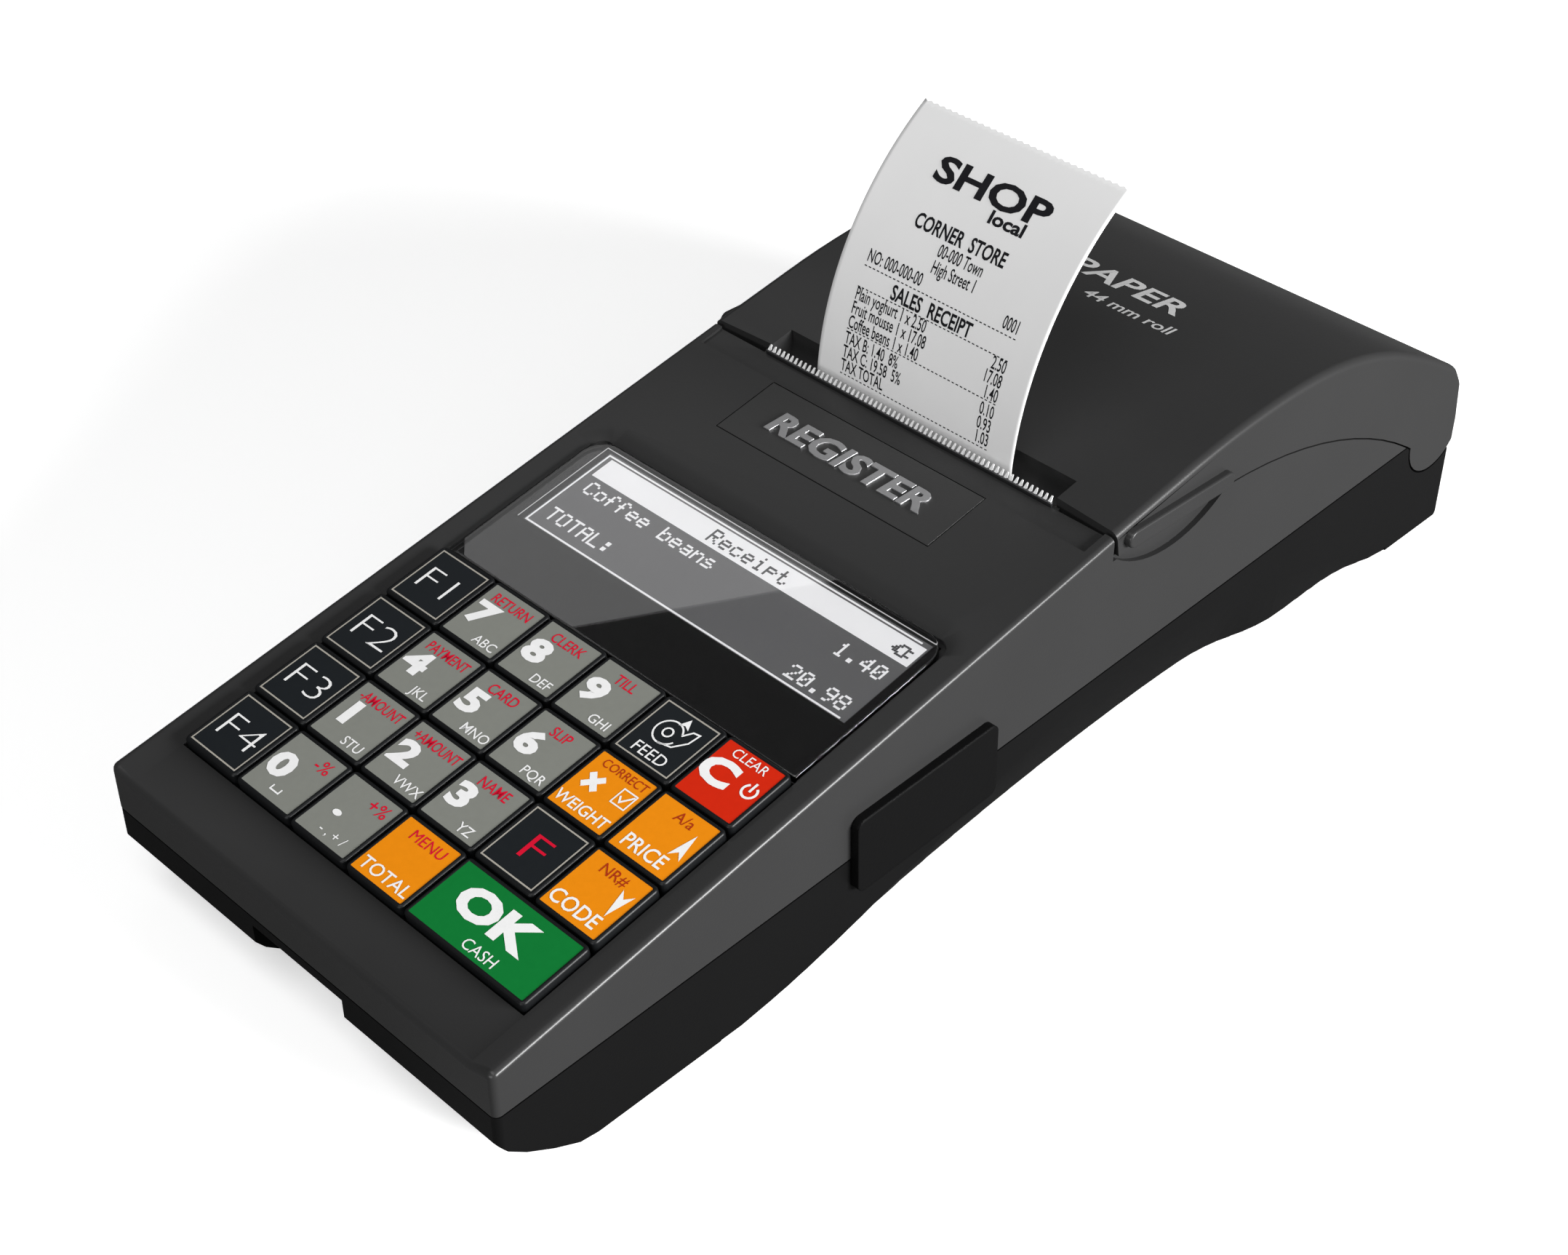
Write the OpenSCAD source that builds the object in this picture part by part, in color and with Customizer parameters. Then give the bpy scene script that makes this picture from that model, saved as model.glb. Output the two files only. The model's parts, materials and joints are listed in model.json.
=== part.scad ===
// Hand-held cash register: a sloped deck with keypad and display, and a
// drop-in paper printer under a rear lid. Millimetres, +Z up, +Y to the rear.
// The origin lies on the resting plane, at the middle of the footprint.

/* [Body] */
// Width of the casing
body_w = 90; // [86:1:110]
// Length of the casing, front to rear
body_l = 230.6; // [228:0.2:280]
// Height of the front edge of the deck above the resting plane
deck_front_h = 26; // [24:0.5:34]
// Slope of the deck
deck_tilt = 9.6; // [8.8:0.1:10.4]
// Height of the parting line at the front
seam_front_h = 17.3; // [16.6:0.1:18]
// Rise of the parting line towards the rear, in degrees
seam_tilt = 1.4; // [1:0.1:1.8]
// Thickness of the casing walls
wall = 2; // [1.6:0.1:2.4]
// Gap between the two casing halves and round the lid
shell_gap = 0.3; // [0.2:0.05:0.5]
// Height of the rubber feet below the casing
foot_h = 0.5; // [0.3:0.1:1]

/* [Deck] */
// Width of the sloped flank beside the sunk field
flank_w = 3.4; // [2:0.1:4]
// Depth of the sunk field that holds the window and the keys
field_depth = 1; // [0.8:0.1:1.2]
// Distance of the field's rear edge from the front, along the deck
field_l = 98.6; // [98:0.1:100]
// Radius of the field's rear corners
field_r = 3.5; // [2:0.5:5]
// Thickness of the deck plate under the sunk field
deck_plate_t = 2.9; // [2.4:0.1:3]

/* [Keys] */
// Key spacing across
key_pitch_x = 13.28; // [12:0.02:14.4]
// Key spacing along the deck
key_pitch_v = 13.44; // [12:0.02:13.6]
// Gap between neighbouring keys
key_gap = 0.4; // [0.3:0.05:1]
// Distance from the front to the first row, along the deck
key_start = 10.2; // [9:0.1:11]
// Height of the key tops above the rails
key_proud = 0.6; // [0:0.1:1]
// Key travel
key_travel = 1.2; // [0.6:0.1:1.3]
// Radius of the key plunger
plunger_r = 2; // [1.5:0.1:2.2]

/* [Display] */
// Thickness of the display window
window_t = 1.4; // [1:0.1:1.6]
// Width of the visible screen
screen_w = 72; // [60:1:74]
// Length of the visible screen, along the deck
screen_l = 19.4; // [15:0.2:20]
// Distance from the front to the screen's near edge, along the deck
screen_start = 77.4; // [76:0.1:78]
// Width of the name plate
plate_w = 47.6; // [30:0.2:60]
// Length of the name plate, along the deck
plate_l = 13.6; // [10:0.2:14.4]

/* [Printer] */
// Width of the paper
paper_w = 43.6; // [38:0.2:44]
// Radius of the full paper roll
roll_r = 18.6; // [15:0.2:19]
// Radius of the platen's rubber
platen_r = 5; // [4.6:0.1:5.2]
// Width of the paper slot and of the tear bar
slot_w = 64; // [56:1:66]
// Gear module
gear_m = 0.5; // [0.5:0.01:0.52]
// Radius of the hinge barrel of the lid
barrel_r = 8; // [7.4:0.1:8.2]
// Radius of the hinge pins
pin_r = 1.5; // [1.2:0.1:1.8]

/* [Power and ports] */
// Radius of one battery cell
cell_r = 9.1; // [8:0.1:9.2]
// Length of one battery cell
cell_l = 65; // [50:1:66]
// Length of the side port cover
port_cover_l = 31.5; // [28:0.5:34]
// Height of the side port cover
port_cover_h = 14.6; // [13.5:0.1:15]
// How far the port cover stands out of the side
port_cover_t = 1.5; // [1:0.1:2]
// Radius of the power jack's bore
jack_r = 2.75; // [2:0.05:3]

/* [Hidden] */
arm_top = 0.4 - wall / 2;  // the arms end half way into the lid's skin, above the rail line
KEYS = ["f4", "0", "point", "total", "ok",
        "f3", "1", "2", "3", "f", "code",
        "f2", "4", "5", "6", "times", "price",
        "f1", "7", "8", "9", "feed", "clear"];
$fn = 48;
eps = 0.01;
fit = 0.05;        // radial clearance of a pin in its hole
seat = 0.2;        // gap between a seated piece and its seat
run = 0.4;         // gap beside a piece that turns or slides
black = [0.13, 0.13, 0.135];
shell_grey = [0.2, 0.2, 0.2];
steel = [0.75, 0.76, 0.78];
green_board = [0.05, 0.3, 0.15];

// ---- heights and places that several pieces share ----
floor_z = foot_h + wall;
seam_y1 = 215;
field_half = body_w / 2 - 1.6 - flank_w;
key_cols = 6;
key_rows = 4;
keys_half = key_cols * key_pitch_x / 2;
keys_end = key_start + key_rows * key_pitch_v;
key_h = 3.4;                              // key top to skirt
key_low = key_proud - key_h;
mat_top = min(key_low - key_travel - 0.1, -field_depth - deck_plate_t - seat);
mat_t = 0.8;
board_t = 1.6;
board_top = mat_top - mat_t;
board_low = board_top - board_t;
plate_low = -field_depth - deck_plate_t;
window_top = -0.4;
window_start = keys_end + 0.2;
window_half = keys_half - 0.2;
lid_y = 128.9;                            // front edge of the lid gap
deck_l = lid_y / cos(deck_tilt);
plate_start = 111.8;
plate_mid = -1.2;
sill_z = 43.7;                            // underside of the lid's front
hinge_y = body_l - 6.4;
hinge_z = 22;
paper_y = 131;
platen_y = paper_y + platen_r + 0.5;
platen_z = 37.2;
teeth_platen = 24;
teeth_idler = 16;
teeth_pinion = 10;
lift_angle = 9.85;                        // platen leaves its seat along this slope
idler_d = gear_m * (teeth_platen + teeth_idler) / 2;
pinion_d = gear_m * (teeth_idler + teeth_pinion) / 2;
idler_y = platen_y - idler_d * sin(lift_angle);
idler_z = platen_z - idler_d * cos(lift_angle);
pinion_y = idler_y - pinion_d;
motor_r = 6.8;
plate_x = 23.6;                           // inner face of the printer's cheeks
cheek_t = 1.2;
gear_x = 27;
gear_t = 3;
bush_r = 3.6;
roll_y = 176;
roll_z = floor_z + 3.6 + roll_r;
tray_wall = 1.6;
screw_spots = [[-36.5, 69.2], [36.5, 69.2], [-36.5, 205], [36.5, 205]];
deck_screws = [[-20, 6], [20, 6], [-28, keys_end + 6], [0, keys_end + 6], [28, keys_end + 6]];
main_z = 12.6;
main_screws = [[-31, 75], [12, 75], [-31, 110], [31, 110]];
frame_z = 18.8;
frame_screws = [[-20, 121], [20, 121], [-20, 145], [20, 145]];
port_y = 85.6;
port_z = 20.2;
battery_y = 42;
battery_cut = [70, 44];
foot_spots = [[-40, 26], [40, 26], [-34, body_l - 9], [34, body_l - 9]];
foot_r = 4;
case_post_r = 3.4;
ear_x = 34.5;                             // the base's hinge ears, either side
ear_t = 3;
notch_w = 21.4;
notch_d = 4.6;
notch_z = seam_front_h - 1.8;

function seam_z(y) = seam_front_h + y * tan(seam_tilt);
function deck_z(y) = deck_front_h + y * tan(deck_tilt);
// Height of a plane that lies d above the deck, measured square to it.
function deck_at(y, d) = deck_z(y) + d / cos(deck_tilt);
// A chain of straight and round stretches: [length, turn] from a point and a
// heading, pushed sideways by off.
function walk(p, a, legs, off = 0, i = 0) =
  i >= len(legs) ? [] :
  let (n = abs(legs[i][1]) < 0.5 ? 1 : 6, s = legs[i][0] / n, t = legs[i][1] / n,
       pts = [for (k = 1, q = p + s * [cos(a + t / 2), sin(a + t / 2)]; k <= n;
              q = q + s * [cos(a + t * (k + 0.5)), sin(a + t * (k + 0.5))], k = k + 1)
              q + off * [-sin(a + t * k), cos(a + t * k)]],
       last = pts[n - 1] - off * [-sin(a + t * n), cos(a + t * n)])
  concat(pts, walk(last, a + legs[i][1], legs, off, i + 1));
function arc(c, r, a0, a1, n = 12) =
  [for (i = [0:n]) c + r * [cos(a0 + (a1 - a0) * i / n), sin(a0 + (a1 - a0) * i / n)]];

lid_front = [lid_y + 1.4, deck_z(lid_y + 1.4) + 0.4];
lid_legs = [[16, 0], [26, -9], [11, -5.6], [28.5, -23], [21, -7.5]];
function lid_crown(off) = concat(
  [lid_front + off * [-sin(deck_tilt), cos(deck_tilt)]],
  walk(lid_front, deck_tilt, lid_legs, off));
arc_c = [152.8, -60.9];
arc_r = 104.4;
arc_a0 = 90;
arc_a1 = 53.3;

// ---- helpers ----
// Everything is drawn from the front edge, then moved to the part's origin.
module place() translate([0, -body_l / 2, 0]) children();
// Frame of the deck: X across, Y along the slope, Z normal to it.
module deck() translate([0, 0, deck_front_h]) rotate([deck_tilt, 0, 0]) children();
// A side outline in (y, z), extruded across.
module across(w, x = 0) translate([x, 0, 0]) rotate([90, 0, 90])
  linear_extrude(w, center = true) children();
module rod(r, x0, x1, y, z, n = 48) translate([x0, y, z]) rotate([0, 90, 0])
  cylinder(r = r, h = x1 - x0, $fn = n);
module block(x0, x1, y0, y1, z0, z1) translate([x0, y0, z0])
  cube([x1 - x0, y1 - y0, z1 - z0]);
module post(p, r, z0, z1) translate([p[0], p[1], z0]) cylinder(r = r, h = z1 - z0, $fn = 32);
module rounded_plate(x0, x1, y0, y1, r, t) linear_extrude(t) {
  translate([x0 + r, y0]) square([x1 - x0 - 2 * r, y1 - y0]);
  translate([x0, y0 + r]) square([x1 - x0, y1 - y0 - 2 * r]);
  for (x = [x0 + r, x1 - r], y = [y0 + r, y1 - r]) translate([x, y]) circle(r, $fn = 32);
}
module gear(teeth, bore, t, phase = 0) difference() {
  rotate(phase) linear_extrude(t, center = true) {
    r = gear_m * teeth / 2;
    p = 360 / teeth;
    polygon([for (i = [0:teeth - 1], c = [[-0.3, -0.62], [-0.1, 0.42], [0.1, 0.42], [0.3, -0.62]])
      (r + c[1]) * [cos((i + c[0]) * p), sin((i + c[0]) * p)]]);
  }
  cylinder(r = bore, h = t + 1, center = true);
}
// Turns a gear drawn about Z so that its axis lies along X at (y, z).
module on_axle(x, y, z) translate([x, y, z]) rotate([90, 0, 90]) children();

// ---- keys ----
function key_row(i) = i < 5 ? 0 : floor((i - 5) / 6) + 1;
function key_col(i) = i < 5 ? i : (i - 5) % 6;
function key_is_wide(i) = i == 4;
module key(i) {
  w = (key_is_wide(i) ? 2 : 1) * key_pitch_x - key_gap;
  l = key_pitch_v - key_gap;
  x = -keys_half + key_col(i) * key_pitch_x + key_gap / 2;
  v = key_start + key_row(i) * key_pitch_v + key_gap / 2;
  hue = i == 4 ? [0, 0.48, 0.19] : i == 22 ? [0.8, 0.13, 0]
    : (i == 3 || i == 10 || i == 15 || i == 16) ? [0.9, 0.53, 0]
    : (key_col(i) == 0 || i == 9 || i == 21) ? black : [0.43, 0.43, 0.41];
  color(hue) place() deck() translate([x, v, key_low]) {
    difference() {
      rounded_plate(0, w, 0, l, 1, key_h);
      translate([1, 1, -eps]) cube([w - 2, l - 2, key_h - 1.5]);
    }
    translate([w / 2, l / 2, 0]) cylinder(r = plunger_r, h = key_h - 1.5 + eps);
  }
}

// ---- casing ----
base_front = [[0, seam_front_h], [0, 12], [1.6, 9.8], [4.8, 7], [9.7, 3.7], [14.4, 1.1], [18, foot_h]];
module base_outline(inset) polygon(inset == 0
  ? concat(base_front, [[body_l - 1.4, foot_h], [body_l, foot_h + 1.4], [body_l, hinge_z - 6.8],
      [hinge_y, hinge_z - 6.8], [seam_y1, seam_z(seam_y1)]])
  : [[inset, seam_front_h + 1], [inset, 12.6], [6.2, 8.6], [11, 5.4], [18.4, floor_z],
      [body_l - inset, floor_z], [body_l - inset, hinge_z + 2], [seam_y1, seam_z(seam_y1) + 1]]);

// Stations of the grip scoop along the side: [y, height of its crease on the
// side face, depth of the cut at the bottom]. It runs deep under the middle,
// comes out in a step and fades towards the rear foot.
scoop = [[42, 0.2, 0], [52, 1.2, 0.9], [60, 2.4, 1.7], [72, 5, 2.85], [86, 8.8, 4.3], [100, 12.6, 5.35],
         [115, 16, 6.2], [129, 18.4, 6.75], [145, 17.6, 7.05], [157, 16.2, 7], [164, 15.3, 6.7], [170, 14.2, 5.7],
         [176, 12.9, 4], [182, 11.6, 3], [190, 9.4, 2.9], [198, 7, 2.85], [204, 5, 2.2], [210, 2.8, 0.7], [216, 0.2, 0]];
// A smooth curve through four neighbouring stations, at t between the middle two.
function blend(a, b, c, d, t) = 0.5 * (2 * b + (c - a) * t + (2 * a - 5 * b + 4 * c - d) * t * t
  + (3 * b - a - 3 * c + d) * t * t * t);
scoop_fine = [for (i = [0:len(scoop) - 2], t = [0, 0.5])
  blend(scoop[max(i - 1, 0)], scoop[i], scoop[i + 1], scoop[min(i + 2, len(scoop) - 1)], t)];
// One wedge-shaped cut along the lower edge of the side; shift thickens it.
module scoop_cut(shift) {
  n = len(scoop_fine) - 1;
  over = 0.2;
  ring = [for (s = scoop_fine) let (k = max(s[2], 0.1) / max(s[1] - foot_h, 0.3), z = s[1] + shift)
    [[body_w / 2 + over, s[0], z + over / k], [body_w / 2 - k * (z + 1), s[0], -1],
     [body_w / 2 + over, s[0], -1]]];
  polyhedron(points = [for (r = ring, p = r) p],
    faces = concat([[2, 1, 0]], [[3 * n, 3 * n + 1, 3 * n + 2]],
      [for (i = [0:n - 1], k = [0:2], half = [0, 1]) let (a = 3 * i + k, b = 3 * i + (k + 1) % 3)
        half == 0 ? [b + 3, a + 3, a] : [b, b + 3, a]]), convexity = 4);
}

module port_opening(x0, x1) block(x0, x1, port_y - 14.6, port_y + 14.6, port_z - 6, port_z + 6);

module base_shell() color(black) place() {
  difference() {
    union() {
      difference() {
        across(body_w) base_outline(0);
        difference() {
          across(body_w - 2 * wall) base_outline(wall);
          for (s = [0, 1]) mirror([s, 0, 0]) scoop_cut(wall + 1.2);
          // solid corner behind the front notch
          block(-notch_w / 2 - 2, notch_w / 2 + 2, 0, notch_d + 2, 0, notch_z + 2);
        }
        for (s = [0, 1]) mirror([s, 0, 0]) scoop_cut(0);
      }
      for (p = screw_spots) post(p, case_post_r, foot_h + 1, seam_z(p[1]) - 0.5);
      for (p = main_screws) post(p, 2.6, floor_z - 1, main_z);
      for (p = frame_screws) post(p, 2.6, floor_z - 1, frame_z);
      for (s = [-1, 1]) {
        block(s * ear_x - ear_t / 2, s * ear_x + ear_t / 2, hinge_y - 3.4, hinge_y + 3.4, floor_z - 1, hinge_z);
        rod(3.4, s * ear_x - ear_t / 2, s * ear_x + ear_t / 2, hinge_y, hinge_z);
      }
    }
    // front notch, room for the barrel, and the battery opening
    block(-notch_w / 2, notch_w / 2, -1, notch_d, -1, notch_z);
    difference() {
      rod(barrel_r + run, -body_w, body_w, hinge_y, hinge_z, 64);
      for (s = [-1, 1]) block(s * ear_x - ear_t / 2, s * ear_x + ear_t / 2, hinge_y - 3.4, hinge_y + 3.4, 0, hinge_z + 4);
    }
    rod(pin_r + fit, -37, 37, hinge_y, hinge_z);
    block(-battery_cut[0] / 2, battery_cut[0] / 2, battery_y - battery_cut[1] / 2,
      battery_y + battery_cut[1] / 2, -1, floor_z + 1);
    for (p = screw_spots) {
      post(p, 1.3, -1, 40);
      post(p, 2.6, -1, 8);
    }
    for (p = concat(main_screws, frame_screws)) post(p, 1, floor_z, 40);
    port_opening(body_w / 2 - wall - 1, body_w / 2 + 1);
    // customer display opening, with a rebate for its window
    block(-29, 29, body_l - wall - 1, body_l + 1, 4.4, 12.4);
    block(-31, 31, body_l - 1, body_l + 1, 3.4, 13.4);
    for (p = foot_spots) post(p, foot_r + fit, -1, foot_h + 0.6);
  }
  // ledges that carry the battery cover
  for (s = [-1, 1]) block(s * battery_cut[0] / 2 - 2, s * battery_cut[0] / 2 + 2,
    battery_y - battery_cut[1] / 2, battery_y + battery_cut[1] / 2, floor_z - 0.1, floor_z + 1);
}

module top_outline() polygon(concat(
  [[0, seam_z(0) + shell_gap], [0, deck_front_h], [lid_y, deck_z(lid_y)], [lid_y, sill_z - shell_gap]],
  arc(arc_c, arc_r - shell_gap, arc_a0, arc_a1),
  [[seam_y1 - 0.4, seam_z(seam_y1) + shell_gap]]));

module top_cover() color(shell_grey) place() difference() {
  union() {
    difference() {
      across(body_w) top_outline();
      // room inside: under the field, under the rear deck and in the open bay
      across(body_w - 2 * wall) polygon([[wall, -1], [wall, deck_at(wall, plate_low)],
        [97, deck_at(97, plate_low)], [103, deck_at(103, -wall)],
        [lid_y - 5, deck_at(lid_y - 5, -wall)], [lid_y - 5, 80], [240, 80], [240, -1]]);
    }
    difference() {
      deck() block(-body_w / 2 + 1, body_w / 2 - 1, deck_l - 12, deck_l + 1, -wall, -0.5);
      across(body_w + 2) polygon([[lid_y, 0], [lid_y, 90], [lid_y + 20, 90], [lid_y + 20, 0]]);
    }
    for (p = screw_spots) post(p, 3, seam_z(p[1]) + shell_gap,
      p[1] < 100 ? deck_at(p[1], plate_low) + 0.3 : seam_z(p[1]) + 3.8);
    // webs that tie the rear posts to the side walls
    for (s = [-1, 1]) block(s * 40.5 - 3.5, s * 40.5 + 3.5, 203.8, 206.2, seam_z(205) + shell_gap, seam_z(205) + 3.8);
    deck() for (p = deck_screws) post(p, 2.2, board_top + 0.05, plate_low + 0.3);
    // ledge under the tear bar
    deck() block(-slot_w / 2 - 1, slot_w / 2 + 1, deck_l - 4, deck_l + 0.9, -2.4, -1);
  }
  // the sunk field, its flanks sloped and its rear corners round
  deck() hull() for (x = [-1, 1] * (field_half - field_r), v = [-30, field_l - field_r])
    translate([x, v, -field_depth]) cylinder(r1 = field_r, r2 = field_r + flank_w * 2, h = field_depth * 2, $fn = 32);
  deck() {
    block(-keys_half - 0.1, keys_half + 0.1, key_start - 0.1, keys_end + 0.1, -10, 1);
    translate([0, 0, window_top - window_t - seat]) rounded_plate(-window_half - seat, window_half + seat,
      keys_end - 6, field_l - 0.1, 2.5, 5);
    block(-screen_w / 2 - 2, screen_w / 2 + 2, screen_start - 3, screen_start + screen_l + 1, -10, 1);
    block(plate_mid - plate_w / 2 - seat, plate_mid + plate_w / 2 + seat,
      plate_start - seat, plate_start + plate_l + seat, -0.8, 1);
    block(-slot_w / 2 - seat, slot_w / 2 + seat, deck_l - 2.6, deck_l + 5, -1, 1);
    for (p = deck_screws) post(p, 1, board_top - 1, -field_depth - 1);
  }
  for (p = screw_spots) post(p, 1.25, 0, seam_z(p[1]) + (p[1] < 100 ? 7 : 3));
  port_opening(body_w / 2 - wall - 1, body_w / 2 + 1);
  rod(barrel_r + run + 0.1, -body_w, body_w, hinge_y, hinge_z, 64);
  // crescent thumb recess below each grip bar
  for (s = [-1, 1]) intersection() {
    rod(23.3, s * body_w / 2 - 1, s * body_w / 2 + 1, 144.2, 61.7, 96);
    block(s * body_w / 2 - 2, s * body_w / 2 + 2, lid_y, body_l, 0, 90);
  }
}

module battery_cover() color(black) place() {
  block(-battery_cut[0] / 2 + seat, battery_cut[0] / 2 - seat, battery_y - battery_cut[1] / 2 + seat,
    battery_y + battery_cut[1] / 2 - seat, foot_h, floor_z - seat);
  // ribs of the finger pad
  for (i = [-3:3]) block(-8, 8, battery_y + i * 2 - 0.4, battery_y + i * 2 + 0.4, foot_h - 0.3, foot_h + 0.1);
}

module rubber_feet() color([0.08, 0.08, 0.08]) place()
  for (p = foot_spots) post(p, foot_r, 0, foot_h + 0.6);

module case_screws() color(steel) place() for (p = screw_spots) difference() {
  union() {
    post(p, 1.2, 7.9, seam_z(p[1]) + 2.8);
    post(p, 2.4, 6.2, 8 - 0.02);
  }
  translate([p[0], p[1], 6.2]) for (a = [0, 90]) rotate(a) cube([2.6, 0.6, 1.6], center = true);
}

module small_screw(r, z0, z1) {
  cylinder(r = r, h = z1 - z0);
  translate([0, 0, z0 - 1]) cylinder(r = r + 0.9, h = 1 + eps);
}
module small_screws() color(steel) place() {
  deck() for (p = deck_screws) translate([p[0], p[1], board_low - 0.02]) small_screw(0.95, 0, -field_depth - 1.2 - board_low);
  for (p = main_screws) translate([p[0], p[1], main_z + board_t + 0.02]) mirror([0, 0, 1]) small_screw(0.95, 0, 6);
  for (p = frame_screws) translate([p[0], p[1], frame_z + cheek_t + 0.02]) mirror([0, 0, 1]) small_screw(0.95, 0, 6);
}

// ---- display and keypad ----
module display_window() color([0.1, 0.1, 0.1, 0.6]) place() deck()
  translate([0, 0, window_top - window_t])
    rounded_plate(-window_half, window_half, window_start, field_l - 0.3, 2.3, window_t);

module lcd_module() color([0.35, 0.36, 0.38]) place() deck() {
  z = window_top - window_t - seat - 0.1;
  block(-screen_w / 2 - 1.6, screen_w / 2 + 1.6, screen_start - 2.6, screen_start + screen_l + 0.6, board_top + 0.02, z);
}

module name_plate() color([0.17, 0.17, 0.17]) place() deck()
  block(plate_mid - plate_w / 2, plate_mid + plate_w / 2, plate_start, plate_start + plate_l, -0.75, 0);

module keypad_mat() color([0.3, 0.3, 0.3]) place() deck() {
  block(-keys_half - 0.6, keys_half + 0.6, key_start - 0.8, keys_end + 0.8, board_top + 0.02, mat_top);
  for (i = [0:len(KEYS) - 1]) {
    w = (key_is_wide(i) ? 2 : 1) * key_pitch_x;
    translate([-keys_half + key_col(i) * key_pitch_x + w / 2,
      key_start + (key_row(i) + 0.5) * key_pitch_v, mat_top - eps]) difference() {
        cylinder(r1 = 4.4, r2 = 3.6, h = 1.7);
        cylinder(r = plunger_r + run, h = 4, center = true);
      }
  }
}

module keypad_board() color(green_board) place() deck() difference() {
  block(-38, 38, 2.8, 101, board_low, board_top);
  for (p = deck_screws) post(p, 1.1, -30, 0);
  rotate([-deck_tilt, 0, 0]) translate([0, 0, -deck_front_h]) for (p = screw_spots) post(p, 3.4, 0, 60);
}

// ---- electronics ----
module main_board() color(green_board) place() difference() {
  union() {
    block(-39.5, 39.5, 71.4, 114, main_z + 0.02, main_z + board_t);
    // processor, shields and connectors
    block(-8, 4, 84, 96, main_z + board_t, main_z + board_t + 1.4);
    block(10, 24, 90, 106, main_z + board_t, main_z + board_t + 3);
    block(-16, 16, 109, 113, main_z + board_t, main_z + board_t + 2.4);
    block(-26, -12, 103, 107.5, main_z + board_t, main_z + board_t + 2.4);
    for (x = [-2, 4, 18, 23]) post([x, 79], 2, main_z + board_t, main_z + board_t + 5);
  }
  for (p = main_screws) post(p, 1.1, 0, 30);
  // notches round the casing's front posts
  for (p = screw_spots) post(p, case_post_r + run, 0, 30);
}
module memory_module() color([0.7, 0.68, 0.6]) place() {
  z = main_z + board_t + 0.02;
  block(-27, -11, 82, 98, z, z + 5.4);
  block(-25, -13, 84, 96, z + 5.4, z + 6);
}
module buzzer() color([0.08, 0.08, 0.08]) place() difference() {
  post([-33, 99], 4.5, main_z + board_t + 0.02, main_z + board_t + 5.5);
  post([-33, 99], 0.8, main_z + board_t + 3, main_z + board_t + 6);
}
module com_port() color([0.2, 0.2, 0.22]) place() difference() {
  block(29.6, body_w / 2 - wall - 0.1, port_y - 12.8, port_y - 1.6, main_z + board_t + 0.02, port_z + 5.6);
  block(33, body_w / 2, port_y - 11.8, port_y - 2.8, port_z - 4.4, port_z + 3.6);
}
module power_jack() color([0.12, 0.12, 0.12]) place() {
  difference() {
    block(31, body_w / 2 - wall - 0.1, port_y + 2.4, port_y + 12.4, main_z + board_t + 0.02, port_z + 5.6);
    rod(jack_r, 33, body_w / 2, port_y + 7.4, port_z + 0.2);
  }
  rod(1, 32.5, body_w / 2 - wall - 1.6, port_y + 7.4, port_z + 0.2);
}
module port_cover() color([0.1, 0.1, 0.1]) place() {
  translate([body_w / 2 + 0.05, port_y, port_z]) rotate([seam_tilt, 0, 0]) rotate([90, 0, 90])
    rounded_plate(-port_cover_l / 2, port_cover_l / 2, -port_cover_h / 2 + 0.1, port_cover_h / 2 + 0.1, 1.6, port_cover_t);
  // plug rim that fills the opening
  difference() {
    block(body_w / 2 - 1.5, body_w / 2 + 0.3, port_y - 13.8, port_y + 13.8, port_z - 5.4, port_z + 5.4);
    block(body_w / 2 - 3, body_w / 2 + 0.1, port_y - 12.6, port_y + 12.6, port_z - 4.2, port_z + 4.2);
  }
}
module battery_pack() color([0.2, 0.35, 0.6]) place() {
  z = floor_z + 0.1 + cell_r;
  for (s = [-1, 1]) rod(cell_r, -cell_l / 2, cell_l / 2, battery_y + s * (cell_r + seat), z);
  // film bridge between the cells, a little lower than their crowns
  block(-cell_l / 2 + 2, cell_l / 2 - 2, battery_y - cell_r + 1, battery_y + cell_r - 1, z - cell_r + 0.7, z + cell_r - 0.7);
  // end plate with the terminals
  block(cell_l / 2 - eps, cell_l / 2 + 1.4, battery_y - 6, battery_y + 6, z - 5, z + 5);
}
module customer_window() color([0.1, 0.1, 0.1, 0.6]) place()
  block(-31 + seat, 31 - seat, body_l - 1 + 0.05, body_l, 3.4 + seat, 13.4 - seat);
module customer_lcd() color([0.3, 0.36, 0.3]) place() {
  block(-28.6, 28.6, body_l - wall - 2.4, body_l - 1.3, 4.7, 12.1);
  block(-30, 30, body_l - wall - 4, body_l - wall - 2.4 + eps, 3.2, 13);
}
module ribbon(w, x, pts, shift) across(w, x)
  polygon(concat(pts, [for (i = [len(pts) - 1:-1:0]) pts[i] + shift]));
module ribbon_cables() color([0.6, 0.6, 0.58]) place() {
  z = main_z + board_t + 2.5;
  ribbon(20, -8, [[111, z], [115, z], [119.5, 24], [127.1, 36.2]], [-0.2, 0.2]);
  ribbon(12, -19, [[105.3, z], [108.2, 22], [108.2, 26], [103.4, deck_z(103) - 9.5], [99, deck_z(99) + board_low - 0.4]], [0.25, 0]);
}

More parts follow.
